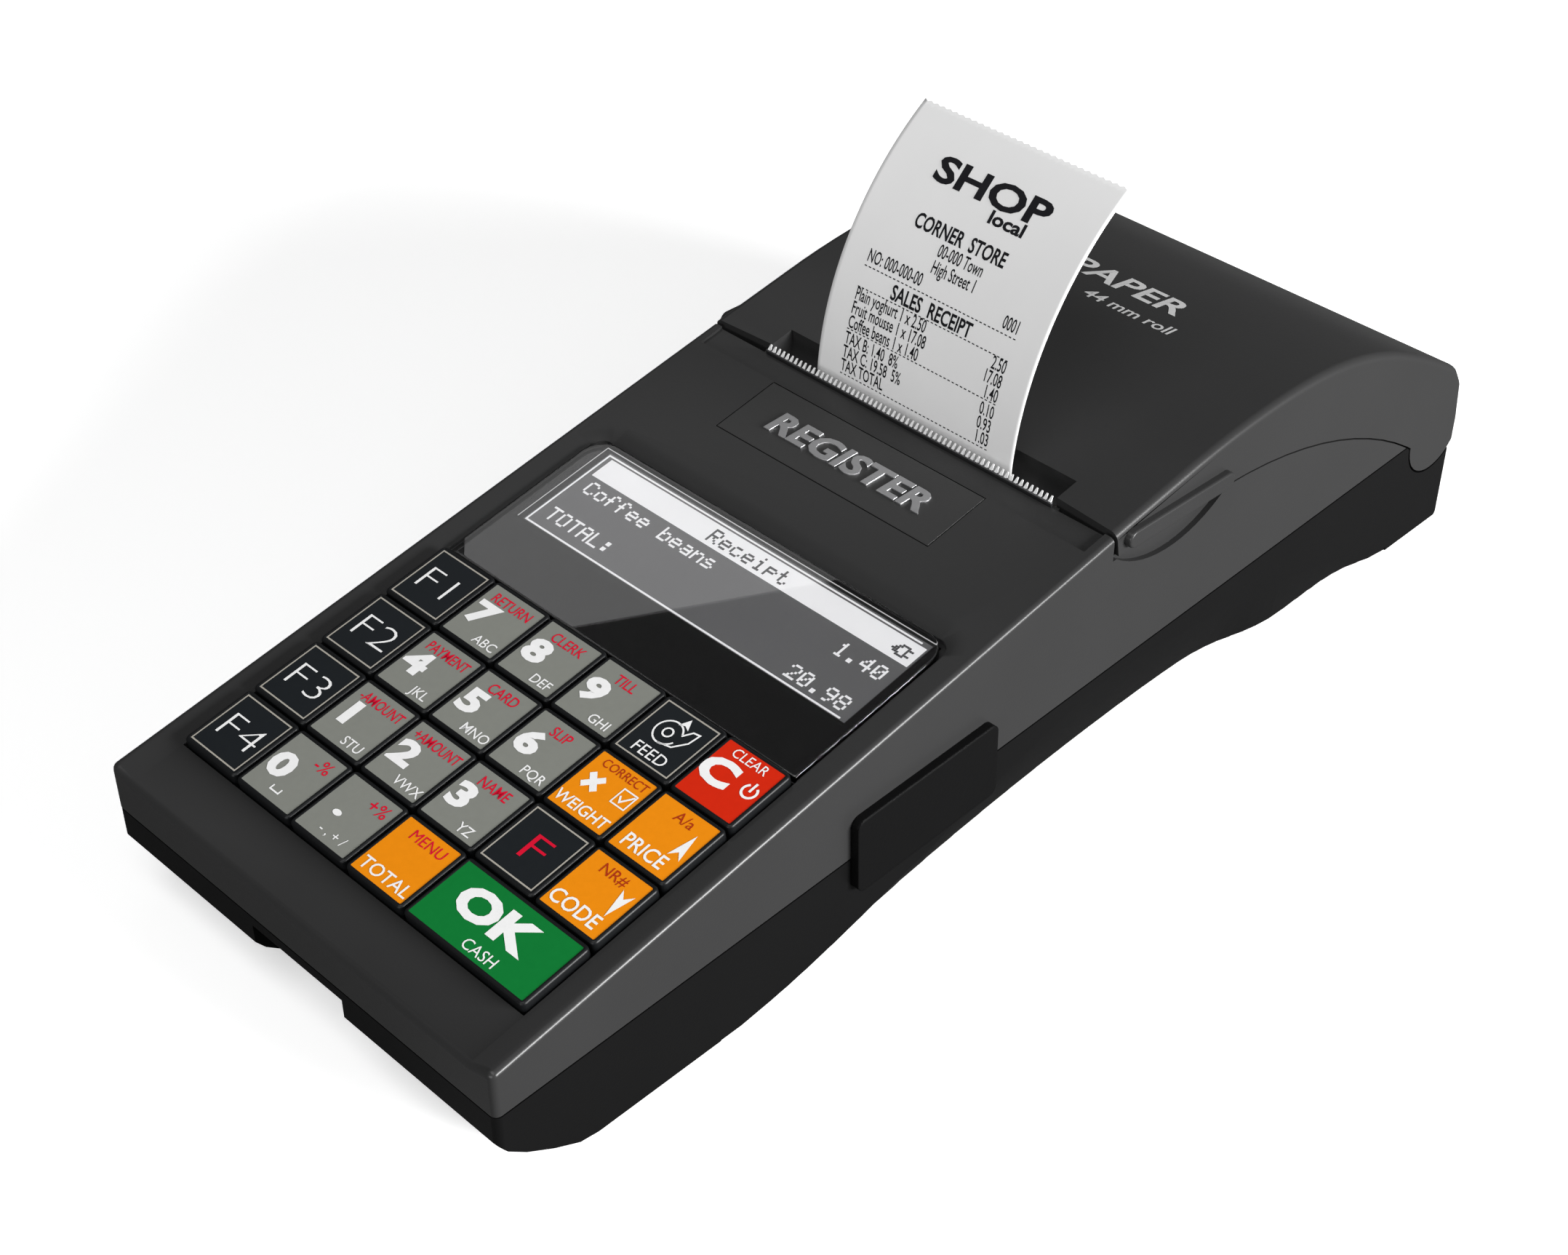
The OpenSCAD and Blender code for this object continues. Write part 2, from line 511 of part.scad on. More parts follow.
// ---- printer ----
module printer_frame() color(steel) place() difference() {
  union() {
    block(-plate_x, plate_x, 117.6, 148.4, frame_z + 0.02, frame_z + cheek_t);
    for (s = [-1, 1]) across(cheek_t, s * (plate_x + cheek_t / 2))
      polygon([[117.6, frame_z + 0.02], [148.4, frame_z + 0.02], [148.4, 28], [144.4, 40.4], [128.2, 43], [121, 40], [117.6, 30]]);
    // front wall that the head springs push against, and the rear paper guide
    block(-plate_x, plate_x, 121, 122.2, 34, 42);
    block(-plate_x, plate_x, 147.2, 148.4, frame_z + 1, 27.4);
  }
  // open slots that take the platen's bushings
  for (s = [-1, 1]) {
    rod(bush_r + 0.3, s * 24.2 - 2, s * 24.2 + 2, platen_y, platen_z);
    translate([s * 24.2, platen_y, platen_z]) rotate([-lift_angle, 0, 0])
      translate([-2, -bush_r - 0.3, 0]) cube([4, 2 * (bush_r + 0.3), 20]);
  }
  for (p = frame_screws) post(p, 1.1, 0, 24);
  rod(1 + fit, plate_x - 1, plate_x + 3, idler_y, idler_z);
  rod(2.2, plate_x - 1, plate_x + 3, pinion_y, idler_z);
}
module print_head() color([0.85, 0.83, 0.78]) place() {
  block(-plate_x + 0.4, plate_x - 0.4, paper_y - 3.6, paper_y - 0.9, 34.9, 43);
  block(-22.6, 22.6, paper_y - 0.91, paper_y - 0.3, 35.2, 42.6);
  // pivot shoulders at the foot
  for (s = [-1, 1]) block(s * 21.2 - 1.6, s * 21.2 + 1.6, paper_y - 4.6, paper_y - 3.59, 35, 37);
}
// Coil springs, drawn as sleeves with one ridge per turn
module head_springs() color(steel) place() for (x = [-15, -5, 5, 15])
  translate([x, 122.25, 39]) rotate([-90, 0, 0]) rotate_extrude($fn = 32) {
    turns = 5;
    l = paper_y - 3.6 - 122.25 - 0.05;
    polygon(concat([[1.5, 0]], [for (i = [0:turns - 1], c = [[0, 0], [0.3, 0.5], [0.7, 0.5]])
      [1.7 + c[1], (i + c[0]) * l / turns]], [[1.7, l], [1.5, l]]));
  }
module paper_motor() color([0.7, 0.7, 0.72]) place() {
  rod(motor_r, 9, plate_x - 0.1, pinion_y, idler_z);
  rod(2.1, plate_x - 0.2, plate_x + 1, pinion_y, idler_z);
  rod(0.75, plate_x, gear_x + gear_t, pinion_y, idler_z);
}
module motor_pinion() color([0.8, 0.65, 0.3]) place()
  on_axle(gear_x + gear_t / 2, pinion_y, idler_z) gear(teeth_pinion, 0.75 + fit, gear_t,
    lift_angle * teeth_idler / teeth_pinion - 180 / teeth_pinion);
module idler_gear() color([0.9, 0.9, 0.88]) place() {
  on_axle(gear_x + gear_t / 2, idler_y, idler_z) gear(teeth_idler, 0.9, gear_t, 90 - lift_angle);
  rod(1, plate_x + 0.1, gear_x + gear_t, idler_y, idler_z);
  rod(1.6, plate_x + cheek_t + 0.2, gear_x + 0.1, idler_y, idler_z);
}
module platen_gear() color([0.9, 0.9, 0.88]) place()
  on_axle(gear_x + gear_t / 2, platen_y, platen_z)
    gear(teeth_platen, 1.55, gear_t, 270 - lift_angle + 180 / teeth_platen);
module platen_roller() color([0.12, 0.12, 0.12]) place() {
  rod(platen_r, -22.6, 22.6, platen_y, platen_z, 64);
  rod(1.5, -26.6, gear_x + gear_t + 0.6, platen_y, platen_z);
}
module platen_bushings() color([0.85, 0.8, 0.6]) place() for (s = [-1, 1]) difference() {
  rod(bush_r, s * 24.7 - 1.6, s * 24.7 + 1.6, platen_y, platen_z);
  rod(1.5 + fit, -40, 40, platen_y, platen_z);
}
module tear_bar() color([0.85, 0.86, 0.88]) place() deck() translate([0, 0, -0.95]) {
  teeth = 62;
  p = slot_w / teeth;
  linear_extrude(0.95) polygon(concat([[slot_w / 2, deck_l - 2.4], [-slot_w / 2, deck_l - 2.4]],
    [for (i = [0:teeth - 1], c = [[0, 0.55], [0.5, 1.55]])
      [-slot_w / 2 + (i + c[0]) * p, deck_l + c[1]]], [[slot_w / 2, deck_l + 0.55]]));
}
module paper_tray() color(black) place() difference() {
  block(-paper_w / 2 - run - tray_wall, paper_w / 2 + run + tray_wall, roll_y - 22, roll_y + 22, floor_z + 0.02, roll_z);
  rod(roll_r + 0.6, -paper_w / 2 - run, paper_w / 2 + run, roll_y, roll_z, 96);
  for (s = [-1, 1]) block(-60, 60, s > 0 ? roll_y + 21 : roll_y - 23, s > 0 ? roll_y + 23 : roll_y - 21, 16, 40);
}
module paper_roll() color([0.93, 0.93, 0.92]) place() difference() {
  rod(roll_r, -paper_w / 2, paper_w / 2, roll_y, roll_z, 96);
  rod(6, -40, 40, roll_y, roll_z);
}
strip_t = 0.12;
strip_low = 34.6;
strip_legs = [[50, -51]];
module receipt_strip() color([0.93, 0.93, 0.92]) place() across(paper_w) {
  top = [paper_y, 48.2];
  polygon(concat([[paper_y, strip_low], top], walk(top, 84, strip_legs),
    [for (q = [1:6]) let (w = walk(top, 84, strip_legs, -strip_t)) w[6 - q]],
    [[paper_y + strip_t, 48.2], [paper_y + strip_t, strip_low]]));
}

// ---- lid ----
module lid_outline() polygon(concat(
  lid_crown(0),
  [[body_l - 1, hinge_z + 9], [body_l, hinge_z]],
  arc([hinge_y, hinge_z], barrel_r, -37, -180, 16),
  [for (i = [12:-1:0]) arc(arc_c, arc_r, arc_a0, arc_a1)[i]],
  [[lid_front[0], sill_z]]));
module lid_room() polygon(concat(
  [for (p = lid_crown(-wall)) if (p[0] > lid_y + 12) p],
  [[body_l - 1 - wall, hinge_z + 8], [body_l - wall, hinge_z]],
  arc([hinge_y, hinge_z], barrel_r - wall, -30, -180, 10),
  [[hinge_y - barrel_r - 1, hinge_z], [hinge_y - barrel_r - 1, -20], [lid_y + 12.6, -20]]));
module paper_lid() color(shell_grey) place() difference() {
  union() {
    difference() {
      across(body_w) lid_outline();
      across(body_w - 2 * wall) lid_room();
    }
    // solid knuckles round the hinge pins
    intersection() {
      across(body_w - 1) lid_outline();
      for (s = [-1, 1], x = [[28.2, 32.6], [36.4, 43.5]])
        block(s * (x[0] + x[1]) / 2 - (x[1] - x[0]) / 2, s * (x[0] + x[1]) / 2 + (x[1] - x[0]) / 2,
          hinge_y - barrel_r + 0.6, body_l + 1, 0, hinge_z + 6);
    }
    // arms that carry the platen's bushings
    for (s = [-1, 1]) difference() {
      block(s * 25.6 - 0.7, s * 25.6 + 0.7, platen_y - 5, platen_y + 6, platen_z - 4.6, 50);
      deck() block(-60, 60, 0, 400, arm_top, 60);
      block(-60, 60, 0, platen_y - 3.8, 0, sill_z);
    }
    // grip bars on both sides
    for (s = [-1, 1]) {
      hull() for (p = [[133, 46.2], [157, 45.2]])
        rod(1.6, s * (body_w / 2) - 1.3, s * (body_w / 2) + 1.3, p[0], p[1], 24);
    }
  }
  // scooped mouth of the paper slot
  rod(5, -slot_w / 2, slot_w / 2, paper_y - 0.6, lid_front[1] - 1, 64);
  block(-slot_w / 2, slot_w / 2, lid_y, paper_y + 2, 30, 60);
  rod(bush_r + 0.02, -27, 27, platen_y, platen_z);
  block(-23.4, 23.4, platen_y - platen_r - run, platen_y + platen_r + run, platen_z - 8, platen_z + platen_r + run);
  rod(teeth_platen * gear_m / 2 + 1, gear_x - 0.5, gear_x + gear_t + 1, platen_y, platen_z);
  rod(pin_r + 0.02, -44, -28, hinge_y, hinge_z);
  rod(pin_r + 0.02, 28, 44, hinge_y, hinge_z);
  // room for the ears of the base through the whole swing
  for (s = [-1, 1]) block(s * ear_x - ear_t / 2 - run, s * ear_x + ear_t / 2 + run, hinge_y - 3.9, hinge_y + 12, hinge_z - 12, hinge_z + 3.9);
}
module hinge_pins() color(steel) place() for (s = [-1, 1])
  rod(pin_r, s * 36 - 7.6, s * 36 + 7.6, hinge_y, hinge_z);

for (i = [0:len(KEYS) - 1]) key(i);
base_shell();
top_cover();
display_window();
lcd_module();
name_plate();
keypad_mat();
keypad_board();
main_board();
memory_module();
buzzer();
com_port();
power_jack();
port_cover();
battery_pack();
battery_cover();
printer_frame();
print_head();
head_springs();
paper_motor();
motor_pinion();
idler_gear();
paper_tray();
paper_roll();
receipt_strip();
platen_roller();
platen_gear();
platen_bushings();
paper_lid();
hinge_pins();
tear_bar();
case_screws();
small_screws();
rubber_feet();
customer_window();
customer_lcd();
ribbon_cables();
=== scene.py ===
"""Hand-held cash register: its visible surfaces and finishes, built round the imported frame."""
import json
import math
from collections import Counter

import bmesh
import bpy
import numpy as np
from mathutils import Matrix, Vector


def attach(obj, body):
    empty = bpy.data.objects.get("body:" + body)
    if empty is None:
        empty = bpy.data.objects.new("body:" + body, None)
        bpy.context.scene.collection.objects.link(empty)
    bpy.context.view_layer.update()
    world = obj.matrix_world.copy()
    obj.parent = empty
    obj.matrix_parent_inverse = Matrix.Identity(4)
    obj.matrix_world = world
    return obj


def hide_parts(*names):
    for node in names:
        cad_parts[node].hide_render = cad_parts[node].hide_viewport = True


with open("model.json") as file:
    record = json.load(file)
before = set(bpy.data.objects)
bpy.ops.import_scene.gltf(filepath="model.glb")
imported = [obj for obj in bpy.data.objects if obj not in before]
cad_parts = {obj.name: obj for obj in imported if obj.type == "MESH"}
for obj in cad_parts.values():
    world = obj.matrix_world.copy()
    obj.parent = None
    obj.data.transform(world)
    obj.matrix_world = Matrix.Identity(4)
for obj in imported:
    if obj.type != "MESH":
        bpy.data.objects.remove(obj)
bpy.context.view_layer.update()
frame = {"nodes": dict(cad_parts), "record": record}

MM = 0.001
TILT = math.radians(9.6)        # slope of the deck
DECK_FRONT = 26.0               # height of the deck's front edge
HALF_L = 115.3                  # half the casing's length
SIDE = 44.9                     # just inside the casing's side faces
FILLET = 1.4                    # the largest rounding of the casing's edges
PITCH_X, PITCH_V, KEY_START = 13.28, 13.44, 10.2
KEY_GAP = 0.4
KEY_TOP = 0.6                   # height of the key tops above the rails
WINDOW_TOP = -0.4
ROWS = [["f4", "0", "point", "total", "ok"],
        ["f3", "1", "2", "3", "f", "code"],
        ["f2", "4", "5", "6", "times", "price"],
        ["f1", "7", "8", "9", "feed", "clear"]]


# ---------------------------------------------------------------- places
def deck(x, v, w):
    """Millimetres on the deck (across, up the slope, square to it) to metres in the frame:
    y = v cos t - w sin t - half length, z = front height + v sin t + w cos t."""
    x, v, w = np.broadcast_arrays(*(np.asarray(a, float) for a in (x, v, w)))
    y = v * math.cos(TILT) - w * math.sin(TILT) - HALF_L
    z = DECK_FRONT + v * math.sin(TILT) + w * math.cos(TILT)
    return np.stack([x, y, z], -1).reshape(-1, 3) * MM


def side(x, y, z):
    """Millimetres from the casing's front edge to metres in the frame."""
    x, y, z = np.broadcast_arrays(*(np.asarray(a, float) for a in (x, y, z)))
    return np.stack([x, y - HALF_L, z], -1).reshape(-1, 3) * MM


# ---------------------------------------------------------------- finishes
class Value:
    """A shader socket that takes part in arithmetic: each operation adds one Math node."""

    def __init__(self, finish, socket):
        self.finish, self.socket = finish, socket

    def maths(self, operation, *values):
        return self.finish.node("ShaderNodeMath", {"operation": operation}, dict(enumerate(values)))

    def __add__(self, other): return self.maths("ADD", self, other)
    def __radd__(self, other): return self.maths("ADD", other, self)
    def __sub__(self, other): return self.maths("SUBTRACT", self, other)
    def __rsub__(self, other): return self.maths("SUBTRACT", other, self)
    def __mul__(self, other): return self.maths("MULTIPLY", self, other)
    def __rmul__(self, other): return self.maths("MULTIPLY", other, self)
    def __truediv__(self, other): return self.maths("DIVIDE", self, other)

    def step(self, low, high):
        """0 below low, 1 above high and a smooth ramp between."""
        return self.finish.node("ShaderNodeMapRange", {"interpolation_type": "SMOOTHSTEP"},
                                {"Value": self, "From Min": low, "From Max": high})


class Finish:
    """One material and the nodes in it."""

    def __init__(self, name):
        self.material = bpy.data.materials.new(name)
        self.material.use_nodes = True
        self.tree = self.material.node_tree
        self.shader = self.tree.nodes["Principled BSDF"]

    def node(self, kind, settings=None, values=None, out=0):
        made = self.tree.nodes.new(kind)
        for key, setting in (settings or {}).items():
            if key == "stops":
                ramp = made.color_ramp
                while len(ramp.elements) < len(setting):
                    ramp.elements.new(0.5)
                for element, (place, colour) in zip(ramp.elements, setting):
                    element.position, element.color = place, colour
            else:
                setattr(made, key, setting)
        for key, value in (values or {}).items():
            self.put(made.inputs[key], value)
        return Value(self, made.outputs[out])

    def put(self, socket, value):
        if isinstance(value, Value):
            self.tree.links.new(value.socket, socket)
        elif isinstance(value, (tuple, list)) and socket.type == "RGBA":
            socket.default_value = (*value[:3], value[3] if len(value) > 3 else 1.0)
        else:
            socket.default_value = value

    def surface(self, **values):
        """Sets the shader's sockets: base_color=..., roughness=..., and so on."""
        names = {s.name.lower().replace(" ", "_"): s for s in self.shader.inputs}
        for key, value in values.items():
            self.put(names[key], value)
        return self.material

    def place(self):
        return self.node("ShaderNodeTexCoord", out="Object")

    def noise(self, per_metre, detail=2.0, rough=0.5, place=None):
        return self.node("ShaderNodeTexNoise", {"noise_dimensions": "3D"},
                         {"Vector": place or self.place(), "Scale": per_metre, "Detail": detail,
                          "Roughness": rough}, out="Fac")

    def mix(self, factor, first, second):
        made = self.tree.nodes.new("ShaderNodeMix")
        made.data_type = "RGBA"
        self.put(made.inputs["Factor"], factor)
        self.put(made.inputs[6], first)
        self.put(made.inputs[7], second)
        return Value(self, made.outputs[2])

    def bump(self, height, metres, strength=1.0, soft_edge=0.0):
        values = {"Height": height, "Distance": metres, "Strength": strength}
        if soft_edge:
            values["Normal"] = self.node("ShaderNodeBevel", {"samples": 4}, {"Radius": soft_edge})
        return self.node("ShaderNodeBump", None, values)


def shade(colour, factor):
    return tuple(min(1.0, c * factor) for c in colour)


def moulded(name, colour, rough, grain=2600, depth=0.000012, mottle=0.08, edge=0.0004, sheen=0.5):
    """Moulded plastic: spark-eroded grain and faint flow marks."""
    f = Finish(name)
    flow = f.noise(38, 3.0)
    fine = f.noise(grain, 2.0, 0.6)
    base = f.mix(flow, shade(colour, 1 - mottle), shade(colour, 1 + mottle))
    return f.surface(base_color=base, roughness=rough + (flow - 0.5) * 0.10 + (fine - 0.5) * 0.06,
                     specular_ior_level=sheen, normal=f.bump(fine, depth, 0.8, edge))


def printed(name, colour, rough=0.42, gloss=0.3):
    """Screen-printed ink: dense, with a faint mesh in its thickness."""
    f = Finish(name)
    weave = f.noise(900, 2.0)
    return f.surface(base_color=f.mix(weave, shade(colour, 0.95), shade(colour, 1.04)), specular_ior_level=gloss,
                     roughness=rough + (weave - 0.5) * 0.08, normal=f.bump(weave, 0.000006, 0.5))


def metal(name, colour, rough, stretch=(1, 40, 40), scale=300):
    """Metal with fine brushing along X."""
    f = Finish(name)
    brushing = f.node("ShaderNodeMapping", None, {"Vector": f.place(), "Scale": stretch})
    lines = f.noise(scale, 2.0, place=brushing)
    return f.surface(base_color=f.mix(lines, shade(colour, 0.85), shade(colour, 1.08)), metallic=1.0,
                     roughness=rough + (lines - 0.5) * 0.14, normal=f.bump(lines, 0.000008, 0.5, 0.0002))


def lit(name, colour, glow, rough=0.5):
    """A backlit layer of the screen (also the glowing painted highlight on the mask's rim): its colour also shines, a
    little unevenly.
    """
    f = Finish(name)
    cloud = f.noise(30, 1.0)
    tone = f.mix(cloud, shade(colour, 0.92), shade(colour, 1.05))
    return f.surface(base_color=tone, roughness=rough, emission_color=tone, emission_strength=glow)


def paper_finish():
    """Thermal paper: matt, with short fibres."""
    f = Finish("thermal_paper")
    fibre = f.noise(1400, 4.0, 0.6)
    cloud = f.noise(90, 2.0)
    return f.surface(base_color=f.mix(cloud, (0.72, 0.72, 0.72), (0.76, 0.76, 0.76)),
                     roughness=0.62 + (fibre - 0.5) * 0.1, normal=f.bump(fibre, 0.00001, 0.5))


def board_finish():
    """Green solder mask over copper tracks that run across and along."""
    f = Finish("solder_mask")
    tracks = f.node("ShaderNodeTexBrick", {"offset": 0.35}, {
        "Vector": f.place(), "Scale": 260.0, "Mortar Size": 0.03}, out="Fac")
    return f.surface(base_color=f.mix(tracks, (0.008, 0.085, 0.03), (0.03, 0.19, 0.08)), roughness=0.35,
                     normal=f.bump(tracks, 0.00003, 0.5))


def glass_finish(name, colour):
    """Smoked acrylic: clear enough to read through, with fine wiping marks in its gloss."""
    f = Finish(name)
    wipes = f.noise(60, 1.0, place=f.node("ShaderNodeMapping", None, {"Vector": f.place(), "Scale": (1, 6, 1)}))
    return f.surface(base_color=colour, roughness=0.002 + wipes * 0.008, transmission_weight=1.0, ior=1.49)


FINISHES = {
    "base_plastic": moulded("base_plastic", (0.0035, 0.0035, 0.0036), 0.42, edge=0.0, sheen=0.10),
    "deck_plastic": moulded("deck_plastic", (0.0235, 0.0235, 0.0237), 0.32, edge=0.0, sheen=0.26),
    "plate_plastic": moulded("plate_plastic", (0.022, 0.022, 0.022), 0.38, edge=0.0002),
    "display_glass": glass_finish("smoked_window", (0.72, 0.72, 0.73)),
    "lcd": moulded("screen_frame", (0.012, 0.012, 0.012), 0.5),
    "mat_rubber": moulded("silicone_mat", (0.02, 0.02, 0.02), 0.6),
    "board": board_finish(),
    "potting": moulded("epoxy_block", (0.42, 0.40, 0.32), 0.45, grain=700),
    "connector_black": moulded("connector_black", (0.016, 0.016, 0.017), 0.4),
    "soft_rubber": moulded("soft_rubber", (0.0024, 0.0024, 0.0025), 0.46, edge=0.0006, sheen=0.09,
                           grain=1800, depth=0.00002),
    "battery_wrap": printed("battery_wrap", (0.02, 0.08, 0.28), 0.25),
    "sheet_steel": metal("sheet_steel", (0.55, 0.56, 0.58), 0.3),
    "ceramic": printed("head_ceramic", (0.68, 0.64, 0.55), 0.2),
    "brass": metal("turned_brass", (0.75, 0.52, 0.22), 0.25),
    "gear_plastic": moulded("gear_plastic", (0.72, 0.71, 0.66), 0.35, mottle=0.03),
    "paper": paper_finish(),
    "blade_steel": metal("blade_steel", (0.86, 0.86, 0.88), 0.22),
    "ribbon": printed("ribbon_foil", (0.5, 0.5, 0.48), 0.3),
    "grey_key": moulded("key_black", (0.0045, 0.005, 0.0056), 0.42, mottle=0.04, edge=0.0, sheen=0.2),
}
for slot_name in ("black_key", "orange_key", "red_key", "green_key"):
    FINISHES[slot_name] = FINISHES["grey_key"]

INK = {
    "white": printed("white_ink", (0.74, 0.74, 0.74)),
    "red": printed("red_ink", (0.56, 0.0, 0.022)),
    "dark_red": printed("dark_red_ink", (0.34, 0.022, 0.0)),
    "silver": metal("silver_letters", (0.62, 0.62, 0.63), 0.42),
    "pale": printed("pale_ink", (0.46, 0.46, 0.46), 0.35),
    "black": printed("thermal_print", (0.010, 0.010, 0.012), 0.5, 0.1),
    "border": printed("border_ink", (0.33, 0.31, 0.27)),
}
BLADE = metal("blade_strip", (0.16, 0.16, 0.165), 0.4)
MASK = printed("window_mask", (0.009, 0.009, 0.009), 0.5, 0.0)
LABEL = {
    "grey": printed("grey_label", (0.184, 0.190, 0.170), 0.48, 0.2),
    "black": printed("black_label", (0.0065, 0.0085, 0.0105), 0.40, 0.25),
    "orange": printed("orange_label", (0.70, 0.215, 0.0), 0.46, 0.2),
    "red": printed("red_label", (0.53, 0.014, 0.0), 0.46, 0.2),
    "green": printed("green_label", (0.0, 0.150, 0.024), 0.46, 0.2),
}

by_node = {part["node"]: part["material_slot"] for part in frame["record"]["subparts"]}
for node_name, node_object in frame["nodes"].items():
    for spot in node_object.material_slots:
        spot.material = FINISHES[by_node[node_name]]
    if not node_object.material_slots:
        node_object.data.materials.append(FINISHES[by_node[node_name]])


# ---------------------------------------------------------------- meshes
class Shape:
    """Vertices, faces and a finish per face, gathered before they become one object."""

    def __init__(self):
        self.points, self.faces, self.finish = [], [], []
        self.count = 0

    def add(self, points, faces, finish):
        points = np.asarray(points, float).reshape(-1, 3)
        self.points.append(points)
        self.faces += [tuple(int(i) + self.count for i in face) for face in faces]
        self.finish += [finish] * len(faces)
        self.count += len(points)

    def object(self, name, body, smooth=True, stands_for=()):
        mesh = bpy.data.meshes.new(name)
        mesh.from_pydata(np.concatenate(self.points).tolist(), [], self.faces)
        kinds = list(dict.fromkeys(self.finish))
        for kind in kinds:
            mesh.materials.append(kind)
        mesh.polygons.foreach_set("material_index", [kinds.index(k) for k in self.finish])
        mesh.polygons.foreach_set("use_smooth", [smooth] * len(self.faces))
        mesh.validate()
        mesh.update()
        made = bpy.data.objects.new(name, mesh)
        bpy.context.scene.collection.objects.link(made)
        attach(made, body)
        if stands_for:
            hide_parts(*stands_for)
        return made


def lettering(text, height, at, wide=1.0, bold=0.0, lean=0.0, spacing=1.0, side_by="CENTER"):
    """Flat letters in millimetres: the font's outline, its capitals scaled to the height, then
    x' = wide x + lean y. at is the point that the line's middle (or its left or right end) sits on."""
    curve = bpy.data.curves.new("letters", "FONT")
    curve.body, curve.size, curve.offset = text, 1.0, bold
    curve.space_character = spacing
    curve.resolution_u = 3
    curve.align_x = side_by
    made = bpy.data.objects.new("letters", curve)
    flat = made.to_mesh()
    points = np.empty(len(flat.vertices) * 3)
    flat.vertices.foreach_get("co", points)
    points = points.reshape(-1, 3)[:, :2] * (height / 0.70)
    faces = [tuple(p.vertices) for p in flat.polygons]
    made.to_mesh_clear()
    bpy.data.objects.remove(made)
    bpy.data.curves.remove(curve)
    x = points[:, 0] * wide + lean * points[:, 1]
    return np.stack([x + at[0], points[:, 1] + at[1] - height / 2], 1), faces


def stroke(path, width, closed=False):
    """A line of even width round a list of points: each point moves half the width along the mitre
    of its two neighbours' normals."""
    p = np.asarray(path, float)
    ahead = np.roll(p, -1, 0) - p
    behind = p - np.roll(p, 1, 0)
    if not closed:
        ahead[-1], behind[0] = behind[-1], ahead[0]
    unit = lambda d: d / np.linalg.norm(d, axis=1, keepdims=True)
    a, b = unit(ahead), unit(behind)
    na, nb = np.stack([-a[:, 1], a[:, 0]], 1), np.stack([-b[:, 1], b[:, 0]], 1)
    mitre = (na + nb) / (1 + np.sum(na * nb, axis=1, keepdims=True)) * width / 2
    n = len(p)
    faces = [(i, (i + 1) % n, n + (i + 1) % n, n + i) for i in range(n if closed else n - 1)]
    return np.concatenate([p + mitre, p - mitre])[:, :2], [f[::-1] for f in faces]


def disc(centre, radius, start=0.0, end=360.0, n=24):
    """Points on a circle between two angles in degrees."""
    a = np.radians(np.linspace(start, end, n))
    return np.stack([centre[0] + radius * np.cos(a), centre[1] + radius * np.sin(a)], 1)


def rounded_ring(half_x, half_y, radius, n=6):
    """A rectangle with round corners: four quarter circles of n + 1 points, anticlockwise."""
    a = np.radians(np.linspace(0, 90, n + 1))
    quarter = np.concatenate([a + k * math.pi / 2 for k in range(4)])
    sx = np.repeat([1, -1, -1, 1], n + 1)
    sy = np.repeat([1, 1, -1, -1], n + 1)
    return (sx * (half_x - radius) + radius * np.cos(quarter), sy * (half_y - radius) + radius * np.sin(quarter))


def stack(rings, close_first=False, close_last=True):
    """Faces of a pile of rings of equal length, each joined to the next, with the ends closed."""
    n = len(rings[0][0])
    faces = []
    for k in range(len(rings) - 1):
        a, b = k * n, (k + 1) * n
        faces += [(a + i, a + (i + 1) % n, b + (i + 1) % n, b + i) for i in range(n)]
    if close_first:
        faces.append(tuple(range(n))[::-1])
    if close_last:
        last = (len(rings) - 1) * n
        faces.append(tuple(range(last, last + n)))
    return faces


# ---------------------------------------------------------------- casing
def flat_shading(made, angle=30):
    """Smooth shading up to an angle between faces, and sharp edges beyond it."""
    mesh = made.data
    work = bmesh.new()
    work.from_mesh(mesh)
    for edge in work.edges:
        edge.smooth = len(edge.link_faces) == 2 and edge.calc_face_angle(0.0) < math.radians(angle)
    work.to_mesh(mesh)
    work.free()


def filleted(node, body, name, radius, chosen, sharp=20, moved=None):
    """A copy of a node with real fillets: doubles merged, flat faces joined, then every edge that turns
    outwards by more than the angle and that chosen(middle, direction, normals) accepts is rounded by its
    share of the radius. chosen and moved, which shifts single points, work in millimetres from the front."""
    work = bmesh.new()
    work.from_mesh(frame["nodes"][node].data)
    bmesh.ops.remove_doubles(work, verts=work.verts[:], dist=2e-6)
    bmesh.ops.dissolve_limit(work, angle_limit=math.radians(0.4), verts=work.verts[:], edges=work.edges[:],
                             delimit=set())
    for vertex in work.verts if moved else ():
        vertex.co += Vector(moved(vertex.co / MM + Vector((0, HALF_L, 0)))) * MM
    weight = work.edges.layers.float.new("bevel_weight_edge")
    for edge in work.edges:
        if len(edge.link_faces) != 2 or edge.calc_face_angle_signed(0.0) < math.radians(sharp):
            continue
        a, b = (v.co / MM + Vector((0, HALF_L, 0)) for v in edge.verts)
        edge[weight] = chosen((a + b) / 2, (b - a).normalized(), [f.normal for f in edge.link_faces])
    for face in work.faces:
        face.smooth = True
    mesh = bpy.data.meshes.new(name)
    work.to_mesh(mesh)
    work.free()
    made = bpy.data.objects.new(name, mesh)
    bpy.context.scene.collection.objects.link(made)
    bevel = made.modifiers.new("fillets", "BEVEL")
    bevel.width, bevel.segments, bevel.limit_method, bevel.offset_type = radius * MM, 4, "WEIGHT", "OFFSET"
    bevel.use_clamp_overlap = False
    rounded = bpy.data.meshes.new_from_object(made.evaluated_get(bpy.context.evaluated_depsgraph_get()))
    made.modifiers.clear()
    made.data = rounded
    bpy.data.meshes.remove(mesh)
    flat_shading(made, 28)
    rounded.materials.clear()
    rounded.materials.append(FINISHES[by_node[node]])
    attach(made, body)
    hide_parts(node)
    even = made.modifiers.new("even_normals", "WEIGHTED_NORMAL")
    even.keep_sharp = True
    return made


